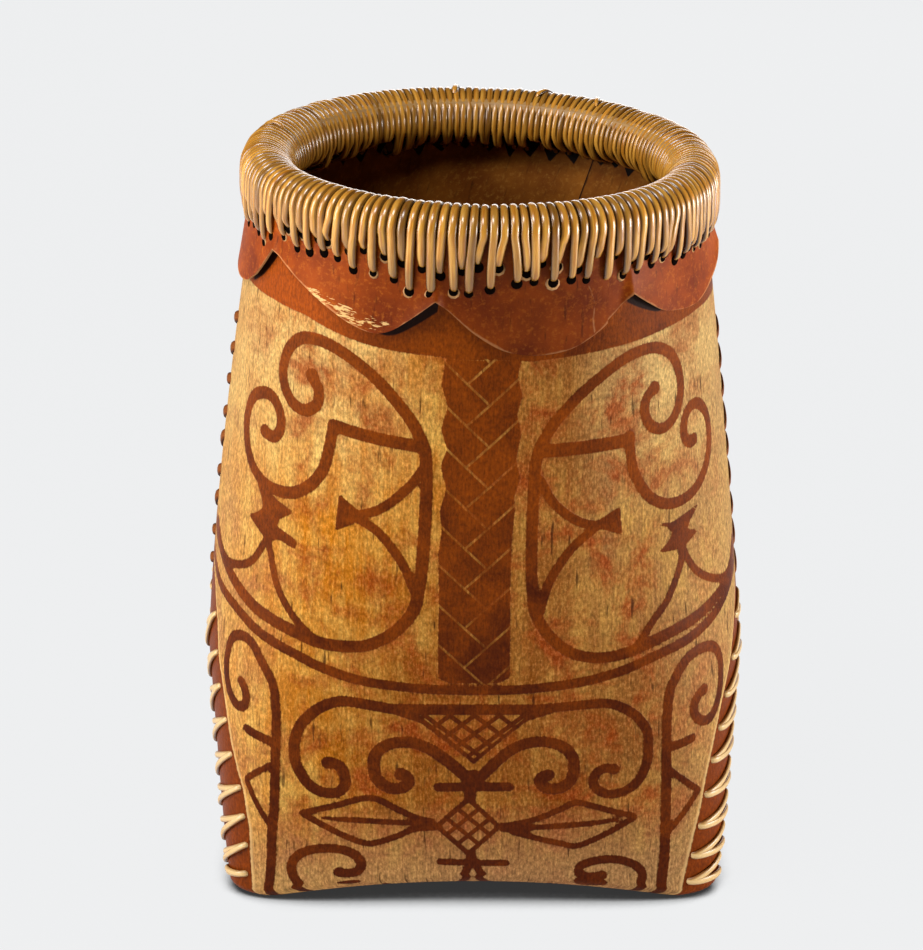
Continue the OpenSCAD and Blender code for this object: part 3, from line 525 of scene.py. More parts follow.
def makeRoot(name, dark, mid, light, roughness, specular=0.55, polish=0.0, look=root):
    made, tree, shader = startMaterial(name, roughness, specular)
    shader.inputs["Coat Weight"].default_value = polish
    shader.inputs["Coat Roughness"].default_value = look["coatRough"]
    along, around, worn = (add(tree, "Attribute", {"attribute_name": key}, "Fac")
                           for key in ("along", "around", "worn"))
    where = add(tree, "CombineXYZ", {"X": along, "Y": around})
    noise = []
    for stretch, detail, rough in (look["streaks"], look["tones"]):
        at = add(tree, "Mapping", {"Vector": where, "Scale": stretch})
        noise.append(add(tree, "TexNoise", {"Vector": at, "Scale": 1.0, "Detail": detail,
                                            "Roughness": rough}))
    streak, tone = noise
    start, end = look["streakSpan"]
    streaked = add(tree, "MapRange", {"Value": streak, "From Min": start, "From Max": end})
    # painted shade towards the root's two edges, where it turns into the grooves
    middle = add(tree, "Math", {"operation": "PINGPONG", 0: around, 1: 0.25})
    darker = []
    for value, (start, end, most) in ((tone, look["toneSpan"]), (middle, look["edgeShadeSpan"])):
        darker.append(add(tree, "MapRange", {"Value": value, "From Min": start, "From Max": end,
                                             "To Max": most}))
    darkest = add(tree, "Math", {"operation": "MAXIMUM", 0: darker[0], 1: darker[1]})
    colour = linear(mid)
    # the worn attribute brings in painted shade and light along the root, with its own tone
    layers = (("MIX", streaked, linear(light)), ("MIX", darkest, linear(dark)), ("MULTIPLY", 1.0, worn))
    for how, share, over in layers:
        colour = add(tree, "Mix", {"data_type": "RGBA", "blend_type": how, "Factor": share, "A": colour,
                                   "B": over})
    dress(tree, shader, colour, streak, look["bump"], look["bumpMm"])
    return made


# a plain material of two tones, with its grain's width in mm
def makePlain(name, dark, light, roughness, specular, grainMm, detail, stretch=(1.0, 1.0, 1.0)):
    made, tree, shader = startMaterial(name, roughness, specular)
    where = add(tree, "Mapping", {"Vector": add(tree, "TexCoord", out="Object"), "Scale": stretch})
    grain = add(tree, "TexNoise", {"Vector": where, "Scale": 1 / (grainMm * mm), "Detail": detail})
    tones = {"data_type": "RGBA", "Factor": grain, "A": linear(dark), "B": linear(light)}
    dress(tree, shader, add(tree, "Mix", tones))
    return made


scrapedBark = makeScrapedBark()
# the collar is a lively red brown, the gussets are a more even one, and both have a little gloss
collarBark = makeSkinBark("collarBarkSkin", "#682402", "#964004", "#C26C1C", 0.46, wearAndShade=True)
gussetBark = makeSkinBark("gussetBarkSkin", "#6E2C04", "#8A3E08", "#A65C1C", 0.5)
innerTones = ("#6A360A", "#905618", "#B27C34", 0.62)  # the side from against the wood: tan and matt
liningBark = makeSkinBark("innerBark", *innerTones)
# the lining's side with painted shade in its notches and along its lap
notchShadedBark = makeSkinBark("notchShadedInnerBark", *innerTones, torn=True)
# the rim's roots are polished by hands; the lower stitches are pale, the upper dark, and both are duller
rimRoot = makeRoot("splitRoot", "#341402", "#B87010", "#E4A844", 0.24, 0.5, polish=0.8)
paleRoot = makeRoot("paleSplitRoot", "#7E4A18", "#CC9C56", "#E6C68C", 0.34)
darkRoot = makeRoot("darkSplitRoot", "#3E1A06", "#6A320E", "#8C4E1C", 0.6, 0.1)
# a cut edge shows thin tan layers, the hoop a straight grain, and an awl hole a painted shade for the dark
# inside it
cutEdge = makePlain("cutBarkEdge", "#8E5426", "#D2A060", 0.7, 0.5, 0.9, 3.0)
hoopWood = makePlain("peeledHoopWood", "#8A6132", "#C59A5E", 0.55, 0.5, 1.2, 4.0, (0.2, 0.2, 1.0))
holeShade = makePlain("awlHoleShade", "#050201", "#0E0603", 0.9, 0.02, 1.5, 2.0)
print("stage: materials ready")


# a sheet of bark: a fine outer face, a coarser inner face, and a cut edge between them
def makeSheet(name, outer, inner, step, materials, attributes, sharp=50):
    rows, cols = outer.shape[:2]
    back = inner[::step, ::step]
    backRows, backCols = back.shape[:2]
    count = rows * cols
    fine = np.arange(count).reshape(rows, cols)
    coarse = count + np.arange(backRows * backCols).reshape(backRows, backCols)
    quads, backQuads = (np.stack([g[:-1, :-1], g[1:, :-1], g[1:, 1:], g[:-1, 1:]], -1).reshape(-1, 4)
                        for g in (fine, coarse))
    backQuads = backQuads[:, [0, 3, 2, 1]]  # facing the other way
    rim, backRim = (np.concatenate([g[0], g[1:, -1], g[-1, -2::-1], g[-2:0:-1, 0]]).tolist()
                    for g in (fine, coarse))
    strips = []
    for k in range(len(backRim)):
        run = [rim[(k * step + i) % len(rim)] for i in range(step + 1)]
        strips.append(run + [backRim[(k + 1) % len(backRim)], backRim[k]])
    mesh = bpy.data.meshes.new(name)
    points = np.concatenate([outer.reshape(-1, 3), back.reshape(-1, 3)]) * mm
    mesh.from_pydata(points.tolist(), [], quads.tolist() + backQuads.tolist() + strips)
    for material in materials:
        mesh.materials.append(material)
    slots = np.repeat([0, 1, 2], [len(quads), len(backQuads), len(strips)]).astype(np.int32)
    mesh.polygons.foreach_set("material_index", slots)
    mesh.polygons.foreach_set("use_smooth", np.ones(len(slots), bool))
    for key, values in attributes.items():
        behind = values[::step, ::step].reshape(backRows * backCols, -1)
        store(mesh, key, np.concatenate([values.reshape(count, -1), behind]))
    mesh.set_sharp_from_angle(angle=math.radians(sharp))
    return place(name, mesh)


# keeps values on a mesh's points, as numbers or as vectors
def store(mesh, key, values):
    values = np.asarray(values, np.float32)
    kind, field = ("FLOAT_VECTOR", "vector") if values.shape[1:] == (3,) else ("FLOAT", "value")
    mesh.attributes.new(key, kind, "POINT").data.foreach_set(field, values.ravel())


def place(name, data):
    made = bpy.data.objects.new(name, data)
    bpy.context.scene.collection.objects.link(made)
    return made


def finish(piece, slotName, *nodes):
    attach(piece, "root")
    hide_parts(*nodes)
    print("piece:", piece.name, len(piece.data.polygons), "faces")


# the collar: scallops as (angle from the front, height of the edge), with cusps where two lists meet
collar = dict(
    thick=1.0, start=27.0, lap=5.0, columns=961, rows=41, step=4, clear=0.3, mmPerDegree=1.49, apart=1300,
    scallops=[
        [(-108.5, 255), (-101, 248.5), (-92, 243), (-82, 240.5), (-74, 241.5), (-69, 245.2), (-65.8, 248.6),
         (-61.7, 254.8), (-58.8, 260)],
        [(-58.8, 260), (-56.1, 258.2), (-49.9, 253.6), (-43.2, 248.6), (-37.1, 244.2), (-31.7, 240.8),
         (-26.1, 239.2), (-21.5, 241.2), (-16.6, 246.6), (-13, 251.2), (-10.3, 254.8)],
        [(-10.3, 254.8), (-6.1, 248.8), (-1.4, 242.4), (4.6, 236.6), (9.4, 234.4), (15.5, 233.6),
         (22.7, 235.2), (28.9, 240), (34.2, 246.4), (38.8, 253.6)],
        [(38.8, 253.6), (42.7, 249.6), (49.9, 243.4), (56.3, 241.2), (61.9, 240.4), (67, 241), (74, 244.5),
         (81, 249.5), (86, 255.5)],
        [(86, 255.5), (93, 248), (101, 241), (110, 236.5), (119, 235.6), (128, 239), (137, 246.5),
         (144, 254.5)],
        [(144, 254.5), (150, 247), (158, 240), (167, 236), (176, 236.4), (184, 240.6), (191, 247.5),
         (195.5, 254.5)],
        [(195.5, 254.5), (201, 247), (209, 240), (219, 236.6), (229, 237.6), (238, 242.4), (246, 249),
         (251.5, 255)]],
    # cusp, which side of it stands off the bark, and by how much
    lifts=[(-58.8, -1, 0.9), (-10.3, -1, 2.6), (38.8, 1, 2.4), (86, -1, 1.8), (144, 1, 2.0),
           (195.5, -1, 2.2)],
    leastLift=0.5, liftRun=9.0, liftEnd=1.6, liftPower=3,
    # painted shadows under those ends, where the edge stands off: where one starts, its cusp, and how deep
    # it is seen there
    gaps=[(-73.0, -58.8, 1.5), (-26.5, -10.3, 5.4), (-6.0, 30.0, 1.5), (51.0, 38.8, 4.2), (74.0, 86.0, 3.0),
          (157.0, 144.0, 3.4), (182.0, 195.5, 3.4)], gapBehind=4, gapPower=0.6,
    crack=[(26.3, 259.6), (27.6, 255.0), (28.4, 251.6), (28.0, 246.0), (28.6, 240.8)],
    # peeled patch: middle and reach of each part, in degrees and mm
    scuffs=[(-43.4, 249.5, 4.7, 3.4), (-38.8, 247, 5.6, 4), (-34.6, 245, 5.2, 4.2), (-30.9, 242.5, 4.2, 3),
            (-26.2, 243, 4.2, 3), (-23.3, 243.5, 2.8, 2)], scuffReach=1.3,
    # where the collar is darker in front, its own darker middle with painted shade of the side light: middle
    # and width in degrees
    frontShading=(10, 38))


def scallopEdge(phi):
    lines = np.vstack([smoothLine(points, 6) for points in collar["scallops"]])
    first = lines[0, 0]
    return np.interp((phi - first) % 360 + first, lines[:, 0], lines[:, 1])


# distance outside the painted shadows under the collar's lifted ends, in mm
def gapShadowDistance(phi, z):
    turned = (phi + 180) % 360 - 180
    edge = scallopEdge(turned)
    distance = np.full(np.shape(z + phi), far)
    for start, cusp, deep in collar["gaps"]:
        away = (turned - start + 180) % 360 - 180
        share = away / (cusp - start)
        thick = deep * np.clip(share, 0, 1) ** collar["gapPower"]
        inside = np.maximum(edge - z - thick, z - edge - collar["gapBehind"])
        distance = np.minimum(distance, np.where((share > 0) & (share <= 1), inside, far))
    return distance


# apart, here and below: how far a piece's grain lies from the others', so that no two look the same
bodySheet = dict(thick=2.0, columns=189, panelRows=201, topHeights=(280.5, 275.0, 269.0), joinZ=262.0,
                 foldSteps=6, baseRows=13, step=4, relief=0.12, calmZ=232.0, calmRun=30, calmEdge=0.15,
                 wave=0.35, wavePhase=0.8, waveWide=17, waveTall=23, waveSlant=60, foldRun=(1, 8),
                 foldStain=3, baseRun=(10, 110), baseBrown=3, apart=200, netReach=3, gapsFrom=225)


def makeBodySheet(b=bodySheet):
    u = np.linspace(-1, 1, b["columns"])[None, :]
    footX = wall(u * edgePhi(0.0), 0.0)[..., 0]
    low = baseRise(footX) + form["foldR"]
    share = np.linspace(1, 0, b["panelRows"])[:, None]
    z = np.vstack([np.array(b["topHeights"])[:, None] + 0 * u, low + (b["joinZ"] - low) * share])
    phi = u * edgePhi(z)
    s = arcLength(phi, z)
    # the ornament goes on round the fold, and the back repeats the front's as someone behind it sees it
    sFold = np.repeat(s[-1:], b["foldSteps"], 0)
    zFold = np.repeat(z[-1:], b["foldSteps"], 0) - np.linspace(*b["foldRun"], b["foldSteps"])[:, None]
    sHalf, zHalf = np.vstack([s, sFold]), np.vstack([z, zFold])
    zStain = np.vstack([z, zFold + b["foldStain"]])
    sBase = np.repeat(s[-1:], b["baseRows"], 0)
    zBase = -np.linspace(*b["baseRun"], b["baseRows"])[:, None] + 0 * sBase
    stain = np.vstack([stainDistance(sHalf, zStain), 0 * sBase + far, stainDistance(-sHalf, zStain)[::-1]])
    margin = np.vstack([marginDistance(sHalf, zHalf), 0 * sBase - b["baseBrown"],
                        marginDistance(-sHalf, zHalf)[::-1]])
    # a little relief where the skin was left, and a slow wave, both calm near the edges
    brown = np.clip(0.5 - np.minimum(stain, margin)[:len(z)], 0, 1)
    calm = np.clip((b["calmZ"] - z) / b["calmRun"], 0, 1)
    calm = calm * np.clip((np.abs(edgePhi(z)) - np.abs(phi)) / b["calmEdge"], 0, 1)
    wave = np.sin(s / b["waveWide"] + b["wavePhase"]) * np.sin(z / b["waveTall"] + s / b["waveSlant"])
    height = calm * (b["relief"] * (brown - 1) + b["wave"] * wave)
    turns = np.radians(np.linspace(0, 90, b["foldSteps"] + 1)[1:])[:, None]

    def face(out):
        panel = wall(phi, z, out + height if out == 0 else out)
        r = form["foldR"] + out
        fold = wall(u * edgePhi(low), low, r * np.cos(turns) - form["foldR"])
        fold[..., 2] = low - r * np.sin(turns)
        front = np.concatenate([panel, fold])
        t = np.linspace(0, 1, b["baseRows"] + 2)[1:-1, None]
        x, y, up = front[-1].T
        base = np.stack([x + 0 * t, y * (1 - 2 * t), up + 0 * t], -1)
        return np.concatenate([front, base, front[::-1] * np.array([1, -1, 1])])

    sAll, zAll = np.vstack([sHalf, sBase, -sHalf[::-1]]), np.vstack([zHalf, zBase, zHalf[::-1]])
    side = np.vstack([0 * sHalf, 0 * sBase + b["apart"], 0 * sHalf + 2 * b["apart"]])
    plait = ornament["braid"]
    inPlait = np.abs(sAll - plait["middle"]) < plait["half"]
    inPlait &= (zAll > plait["low"]) & (zAll < plait["high"])
    braid = np.stack([(zAll + sAll - plait["leftFrom"]) / plait["pitch"],
                      (zAll - sAll - plait["rightFrom"]) / plait["pitch"], inPlait.astype(float)], -1)
    net = np.full(sAll.shape + (3,), far)
    for (midS, midZ), (pitchS, pitchZ), corners in ornament["lattices"]:
        p, q = np.array(corners).min(0) - b["netReach"], np.array(corners).max(0) + b["netReach"]
        near = (sAll > p[0]) & (sAll < q[0]) & (zAll > p[1]) & (zAll < q[1])
        d = lineDistance(sAll[near], zAll[near], corners + corners[:1])
        net[near, 2] = np.where(insidePolygon(sAll[near], zAll[near], corners), -d, d)
        across, up = (sAll[near] - midS) / (2 * pitchS), (zAll[near] - midZ) / (2 * pitchZ)
        net[near, 0], net[near, 1] = across + up + 0.5, across - up + 0.5
    degrees = np.degrees(np.vstack([phi, 0 * sFold, 0 * sBase, 0 * sFold, math.pi - phi[::-1]]))
    # painted shadow under the collar's lifted ends, kept as a distance
    shade = np.where(zAll > b["gapsFrom"], gapShadowDistance(degrees, zAll), far)
    grain = np.stack([sAll, zAll, side], -1)
    looks = dict(place=grain, stain=stain, margin=margin, braid=braid, net=net, shade=shade)
    sheet = makeSheet("bodySheet", face(0.0), face(-b["thick"]), b["step"],
                      [scrapedBark, liningBark, cutEdge], looks)
    finish(sheet, "birch_bark_light", "body_sheet")


makeBodySheet()
print("stage: body sheet")

gusset = dict(thick=1.2, depth=2.5, lap=15.0, top=249.5, flange=10.0, columns=49, rows=85, foldSteps=4,
              flangeRows=4, step=4, grainHalf=55, footRun=(1, 20), apart=700)


def makeGusset(name, side, node, g=gusset):
    c = np.linspace(-1, 1, g["columns"])[None, :]
    z = np.linspace(g["top"], form["foldR"], g["rows"])[:, None]
    phi = side * math.pi / 2 + c * np.arctan((seamGap(z) + g["lap"]) / halfWidth(z))
    footPhi = phi[-1:]
    turns = np.radians(np.linspace(0, 90, g["foldSteps"] + 1)[1:])[:, None]
    reach = np.linspace(0, g["flange"], g["flangeRows"] + 1)[1:, None]

    def face(out):
        r = form["foldR"] + out
        fold = wall(footPhi, form["foldR"], r * np.cos(turns) - form["foldR"])
        fold[..., 2] = form["foldR"] - r * np.sin(turns)
        flange = wall(footPhi, form["foldR"], -form["foldR"] - reach)
        flange[..., 2] = baseRise(flange[..., 0]) - out
        return np.concatenate([wall(phi, z, out), fold, flange])

    outer, inner = face(-g["depth"]), face(-g["depth"] - g["thick"])
    across = np.repeat(c * g["grainHalf"], len(outer), 0)
    foot = -np.linspace(*g["footRun"], len(outer) - g["rows"])
    heights = np.concatenate([z[:, 0], foot])[:, None] + 0 * across
    where = np.stack([across + g["apart"] * side, heights, 0 * across], -1)
    made = makeSheet(name, outer, inner, g["step"], [gussetBark, liningBark, cutEdge], dict(place=where))
    finish(made, "birch_bark_red", node)


makeGusset("leftGusset", -1, "left_gusset")
makeGusset("rightGusset", 1, "right_gusset")
print("stage: gussets")

# the lining: the teeth of its torn upper edge are painted, with painted shade in the notches between them,
# as (least and greatest) widths in degrees and heights in mm
lining = dict(thick=1.0, clear=0.3, start=132.0, lap=14.0, slant=0.2, columns=481, foot=15.0, step=4,
              knots=160, teeth=(1.8, 4.2), tip=(266.0, 270.0), notch=(260.5, 264.0), lapShadeLine=0.6,
              lowerTop=249.5, lowerRows=48, depths=(4.0, 2.5), mmPerDegree=1.35, grainPerDegree=1.5,
              apart=900, heights=(280.5, 276.0, 272.0, 270.0, 268.5, 267.0, 265.5, 264.0, 262.5, 261.0,
                                  259.5, 257.0, 253.0))


def makeLining(k=lining):
    turn = 360 + k["lap"]
    share = np.linspace(0, 1, k["columns"])[None, :]
    z = np.concatenate([k["heights"], np.linspace(k["lowerTop"], k["foot"], k["lowerRows"])])[:, None]
    depth = np.interp(z, [k["lowerTop"], form["neckZ"]], k["depths"])
    angle = k["start"] + turn * share + k["slant"] * (form["neckZ"] - z)
    knots = np.cumsum(rng.uniform(*k["teeth"], k["knots"]))
    tips, notches = rng.uniform(*k["tip"], k["knots"]), rng.uniform(*k["notch"], k["knots"])
    edge = np.where(np.arange(k["knots"]) % 2 == 0, tips, notches)
    # painted shade: dark in the notches between the teeth, and in a thin line along the lap's edge
    lapShadeLine = (1 - share) * turn * k["mmPerDegree"] - k["lapShadeLine"]
    notch = np.minimum(np.interp(angle - k["start"], knots, edge) - z, lapShadeLine)
    sunk = depth + (k["thick"] + k["clear"]) * share * turn / 360
    outer, inner = wall(np.radians(angle), z, -sunk), wall(np.radians(angle), z, -sunk - k["thick"])
    where = np.stack([share * turn * k["grainPerDegree"] + 0 * z, z + 0 * share,
                      0 * z * share + k["apart"]], -1)
    # the face towards the room inside is the fine one here
    made = makeSheet("barkLining", inner[:, ::-1], outer[:, ::-1], k["step"],
                     [notchShadedBark, liningBark, cutEdge], dict(place=where[:, ::-1], notch=notch[:, ::-1]))
    finish(made, "birch_bark_red", "lining")


makeLining()
print("stage: lining")


# how far the collar's edge stands off the bark: most at a lifted end, and it falls steeply beyond its cusp
def scallopLift(phi, k=collar):
    lift = np.full(np.shape(phi), k["leastLift"])
    for cusp, side, size in k["lifts"]:
        ahead = ((phi - cusp + 180) % 360 - 180) * side
        slow, steep = np.exp(-(ahead / k["liftRun"]) ** 2), np.exp(-(ahead / k["liftEnd"]) ** 2)
        lift = np.maximum(lift, k["leastLift"] + size * np.where(ahead >= 0, slow, steep))
    return lift


def collarOut(share, down, phi, k=collar):
    lapped = (k["thick"] + k["clear"]) * share * (360 + k["lap"]) / 360
    return k["clear"] + lapped + scallopLift(phi) * down ** k["liftPower"]


def makeCollar(k=collar):
    turn = 360 + k["lap"]
    share = np.linspace(0, 1, k["columns"])[None, :]
    down = np.linspace(0, 1, k["rows"])[:, None]
    angle = k["start"] + turn * share
    edge = scallopEdge(angle)
    z = form["barkTop"] - (form["barkTop"] - edge) * down
    out = collarOut(share, down, angle)
    phi = np.radians(angle)
    outer, inner = wall(phi, z, out + k["thick"]), wall(phi, z, out)
    s = angle * k["mmPerDegree"]
    wrapped = (angle + 180) % 360 - 180
    scuff = np.zeros(z.shape)
    for a, h, ra, rh in k["scuffs"]:
        within = k["scuffReach"] - np.hypot((wrapped - a) / ra, (z - h) / rh)
        scuff = np.maximum(scuff, np.clip(within, 0, 1))
    steep = np.abs(np.gradient(edge[0], s[0]))[None, :]
    # the front's painted shade, over the collar's own darker middle, as a share
    middle, wide = k["frontShading"]
    looks = dict(place=np.stack([s + 0 * z, z, 0 * z + k["apart"]], -1), scuff=scuff,
                 lip=(z - edge) / np.sqrt(1 + steep ** 2),
                 crack=lineDistance(wrapped + 0 * z, z, k["crack"]),
                 dusk=np.exp(-((wrapped - middle) / wide) ** 2) + 0 * z)
    made = makeSheet("scallopedCollar", outer, inner, k["step"], [collarBark, gussetBark, cutEdge], looks)
    finish(made, "birch_bark_red", "scalloped_collar")


makeCollar()
print("stage: collar")


# starts a tree with its named inputs, as (name, kind, value)
def startTree(name, sockets):
    tree = bpy.data.node_groups.new(name, "GeometryNodeTree")
    tree.interface.new_socket("Geometry", in_out="INPUT", socket_type="NodeSocketGeometry")
    for key, kind, value in sockets:
        socket = tree.interface.new_socket(key, in_out="INPUT", socket_type="NodeSocket" + kind)
        if value is not None:
            socket.default_value = value
    tree.interface.new_socket("Geometry", in_out="OUTPUT", socket_type="NodeSocketGeometry")
    return tree, add(tree, "NodeGroupInput").node.outputs


# one tree sweeps a split root along any path
def makeRootTree():
    tree, inputs = startTree("rootAlongPath", (("Width", "Float", 0.0036), ("Thickness", "Float", 0.0019),
                                               ("Sides", "Int", 10), ("Material", "Material", None)))
    across = add(tree, "GeometryNodeInputNamedAttribute", {"data_type": "FLOAT_VECTOR", "Name": "across"})
    swell = add(tree, "GeometryNodeInputNamedAttribute", {"data_type": "FLOAT", "Name": "swell"})
    run = add(tree, "GeometryNodeSplineParameter").node.outputs
    path = add(tree, "GeometryNodeMeshToCurve", {"Mesh": inputs["Geometry"]})
    path = add(tree, "GeometryNodeSetCurveNormal", {"mode": "FREE", "Curve": path, "Normal": across})
    path = add(tree, "GeometryNodeStoreNamedAttribute", {
        "data_type": "FLOAT", "domain": "POINT", "Geometry": path, "Name": "along", "Value": run["Length"]})
    ring = add(tree, "GeometryNodeCurvePrimitiveCircle", {"mode": "RADIUS", "Resolution": inputs["Sides"],
                                                          "Radius": 0.5})
    ring = add(tree, "GeometryNodeStoreNamedAttribute", {
        "data_type": "FLOAT", "domain": "POINT", "Geometry": ring, "Name": "around", "Value": run["Factor"]})
    size = add(tree, "CombineXYZ", {"X": inputs["Width"], "Y": inputs["Thickness"], "Z": 1.0})
    ring = add(tree, "GeometryNodeTransform", {"Geometry": ring, "Scale": size})
    made = add(tree, "GeometryNodeCurveToMesh", {"Curve": path, "Profile Curve": ring, "Scale": swell,
                                                 "Fill Caps": True})
    made = add(tree, "GeometryNodeSetShadeSmooth", {"Geometry": made})
    made = add(tree, "GeometryNodeRealizeInstances", {"Geometry": made})
    made = add(tree, "GeometryNodeSetMaterial", {"Geometry": made, "Material": inputs["Material"]})
    add(tree, "NodeGroupOutput", {"Geometry": made})
    return tree


rootTree = makeRootTree()


# runs a tree on a guide mesh and keeps the result as a plain mesh
def bakeTree(name, guide, tree, values):
    helper = place(name + "Guide", guide)
    modifier = helper.modifiers.new("nodes", "NODES")
    modifier.node_group = tree
    for item in tree.interface.items_tree:
        if item.item_type == "SOCKET" and item.in_out == "INPUT" and item.name in values:
            modifier[item.identifier] = values[item.name]
    bpy.context.view_layer.update()
    result = bpy.data.meshes.new_from_object(helper.evaluated_get(bpy.context.evaluated_depsgraph_get()))
    result.name = name
    bpy.data.objects.remove(helper)
    return place(name, result)


# paths: lists of (points in mm, directions across, swell, tone that holds painted shade and light)
def makeRoots(name, paths, width, thickness, sides, material):
    points, across, swell, worn = (np.concatenate(parts) for parts in zip(*paths))
    edges, first = [], 0
    for path in paths:
        last = first + len(path[0]) - 1
        edges.extend((i, i + 1) for i in range(first, last))
        first = last + 1
    guide = bpy.data.meshes.new(name + "Path")
    guide.from_pydata((points * mm).tolist(), edges, [])
    for key, values in (("across", across), ("swell", swell), ("worn", worn)):
        store(guide, key, values)
    sizes = dict(Width=width * mm, Thickness=thickness * mm, Sides=sides, Material=material)
    return bakeTree(name, guide, rootTree, sizes)


# the rim lacing: six roots, each wound close round the bark's edge and the hoop; the legs on the collar end
# by turns high and low, and some share a hole
lacing = dict(
    turns=(25, 27, 30, 30, 27, 25), width=3.52, thick=2.6, sides=12,
    # the holes: their two heights, how they stray and dip in front, where they are raised, and where level
    high=269.2, low=263.0, highest=271.5, jitterZ=1.1, dip=3.4, dipAt=-12.0, dipWide=13.0,
    short=(-58.0, -18.0, 2.6), level=(42.0, 100.0, 20.0), levelZ=264.6, levelJitter=1.2,
    # how the turns differ: splay of the legs, where they go under inside, how far they lift, girth and tone
    splay=0.24, inner=(268.6, 1.0), meet=(0.34, 0.12), lift=0.14, girth=(0.93, 1.05), shade=(0.84, 1.1),
    # one turn, leg: radius, share of lift, rise from the hole, shares of the leg's height and of splay, lead
    leg=[(85.0, 0, -0.9, 0, 1, 0), (87.6, 0, -0.3, 0, 1, 0), (88.85, 1, 1.6, 0, 1, 0),
         (89.35, 1, 0, 0.4, 0.8, 0.04), (89.35, 1, 0, 0.7, 0.45, 0.12)],
    # over the rim: how far radius and height follow the lift, then radius, height, lead
    rollLift=(0.6, 0.8),
    roll=[(89.3, 279.6, 0.2), (88.7, 282.6, 0.25), (87.0, 285.4, 0.29), (84.2, 287.5, 0.34),
          (80.8, 288.3, 0.39), (77.2, 287.2, 0.44), (74.0, 285.1, 0.49), (71.7, 282.2, 0.54),
          (70.5, 278.9, 0.6), (70.2, 275.4, 0.66)],
    # inside and under: radius, height, whether that counts from where it goes under, lead, share of meeting
    under=[(71.2, 272.4, 0, 0.66, 0.5), (73.6, 1.2, 1, 0.66, 0.85), (76.6, -0.4, 1, 0.66, 1),
           (80.4, -1.8, 1, 0.8, 0.7)],
    # girth by radius, below the rim and over it
    rimZ=280, crowdPower=0.8, narrow=([70, 76, 84, 86, 88.6, 89.2], [0.84, 0.92, 0.7, 0.68, 0.86, 1.0]),
    narrowOver=([70, 76, 85], [0.84, 0.92, 1.0]), ends=6, thinnest=0.35,
    # tone: painted shade, darker at the holes and on top, by height outside and by radius inside, and
    # painted light, paler at the sides
    outsideR=85.5, shadeOut=([260, 266, 275, 281, 286], [0.62, 0.86, 1.06, 1.02, 0.86]),
    shadeIn=([70, 74, 80, 86], [0.9, 1.0, 0.84, 0.86]), paintedSideLight=0.16, sidePower=3,
    # loose ends of roots that lie across the turns: where each starts and which way it runs, in degrees
    tails=[(185.5, 2.0), (148.0, -4.5), (252.0, 4.5), (160.0, 3.0)], tailTone=1.1, tailEnds=3,
    tailSwell=(0.3, 0.72, 0.66, 0.3),
    tail=[(86.6, 285.2, 0.0), (85.2, 287.6, 0.2), (82.2, 289.3, 0.5), (78.8, 289.2, 0.8),
          (76.8, 287.9, 1.0)])
lacingHoles = []  # (angle in degrees, height) of each leg's hole


# places a path of (radius, height) round the mouth at some angles, with the directions across it
def roundMouth(path, phi):
    points = sloped(form["lean"] + path[:, 0] * np.sin(phi), -path[:, 0] * np.cos(phi), path[:, 1])
    return points, np.stack([np.cos(phi), np.sin(phi), 0 * phi], -1)


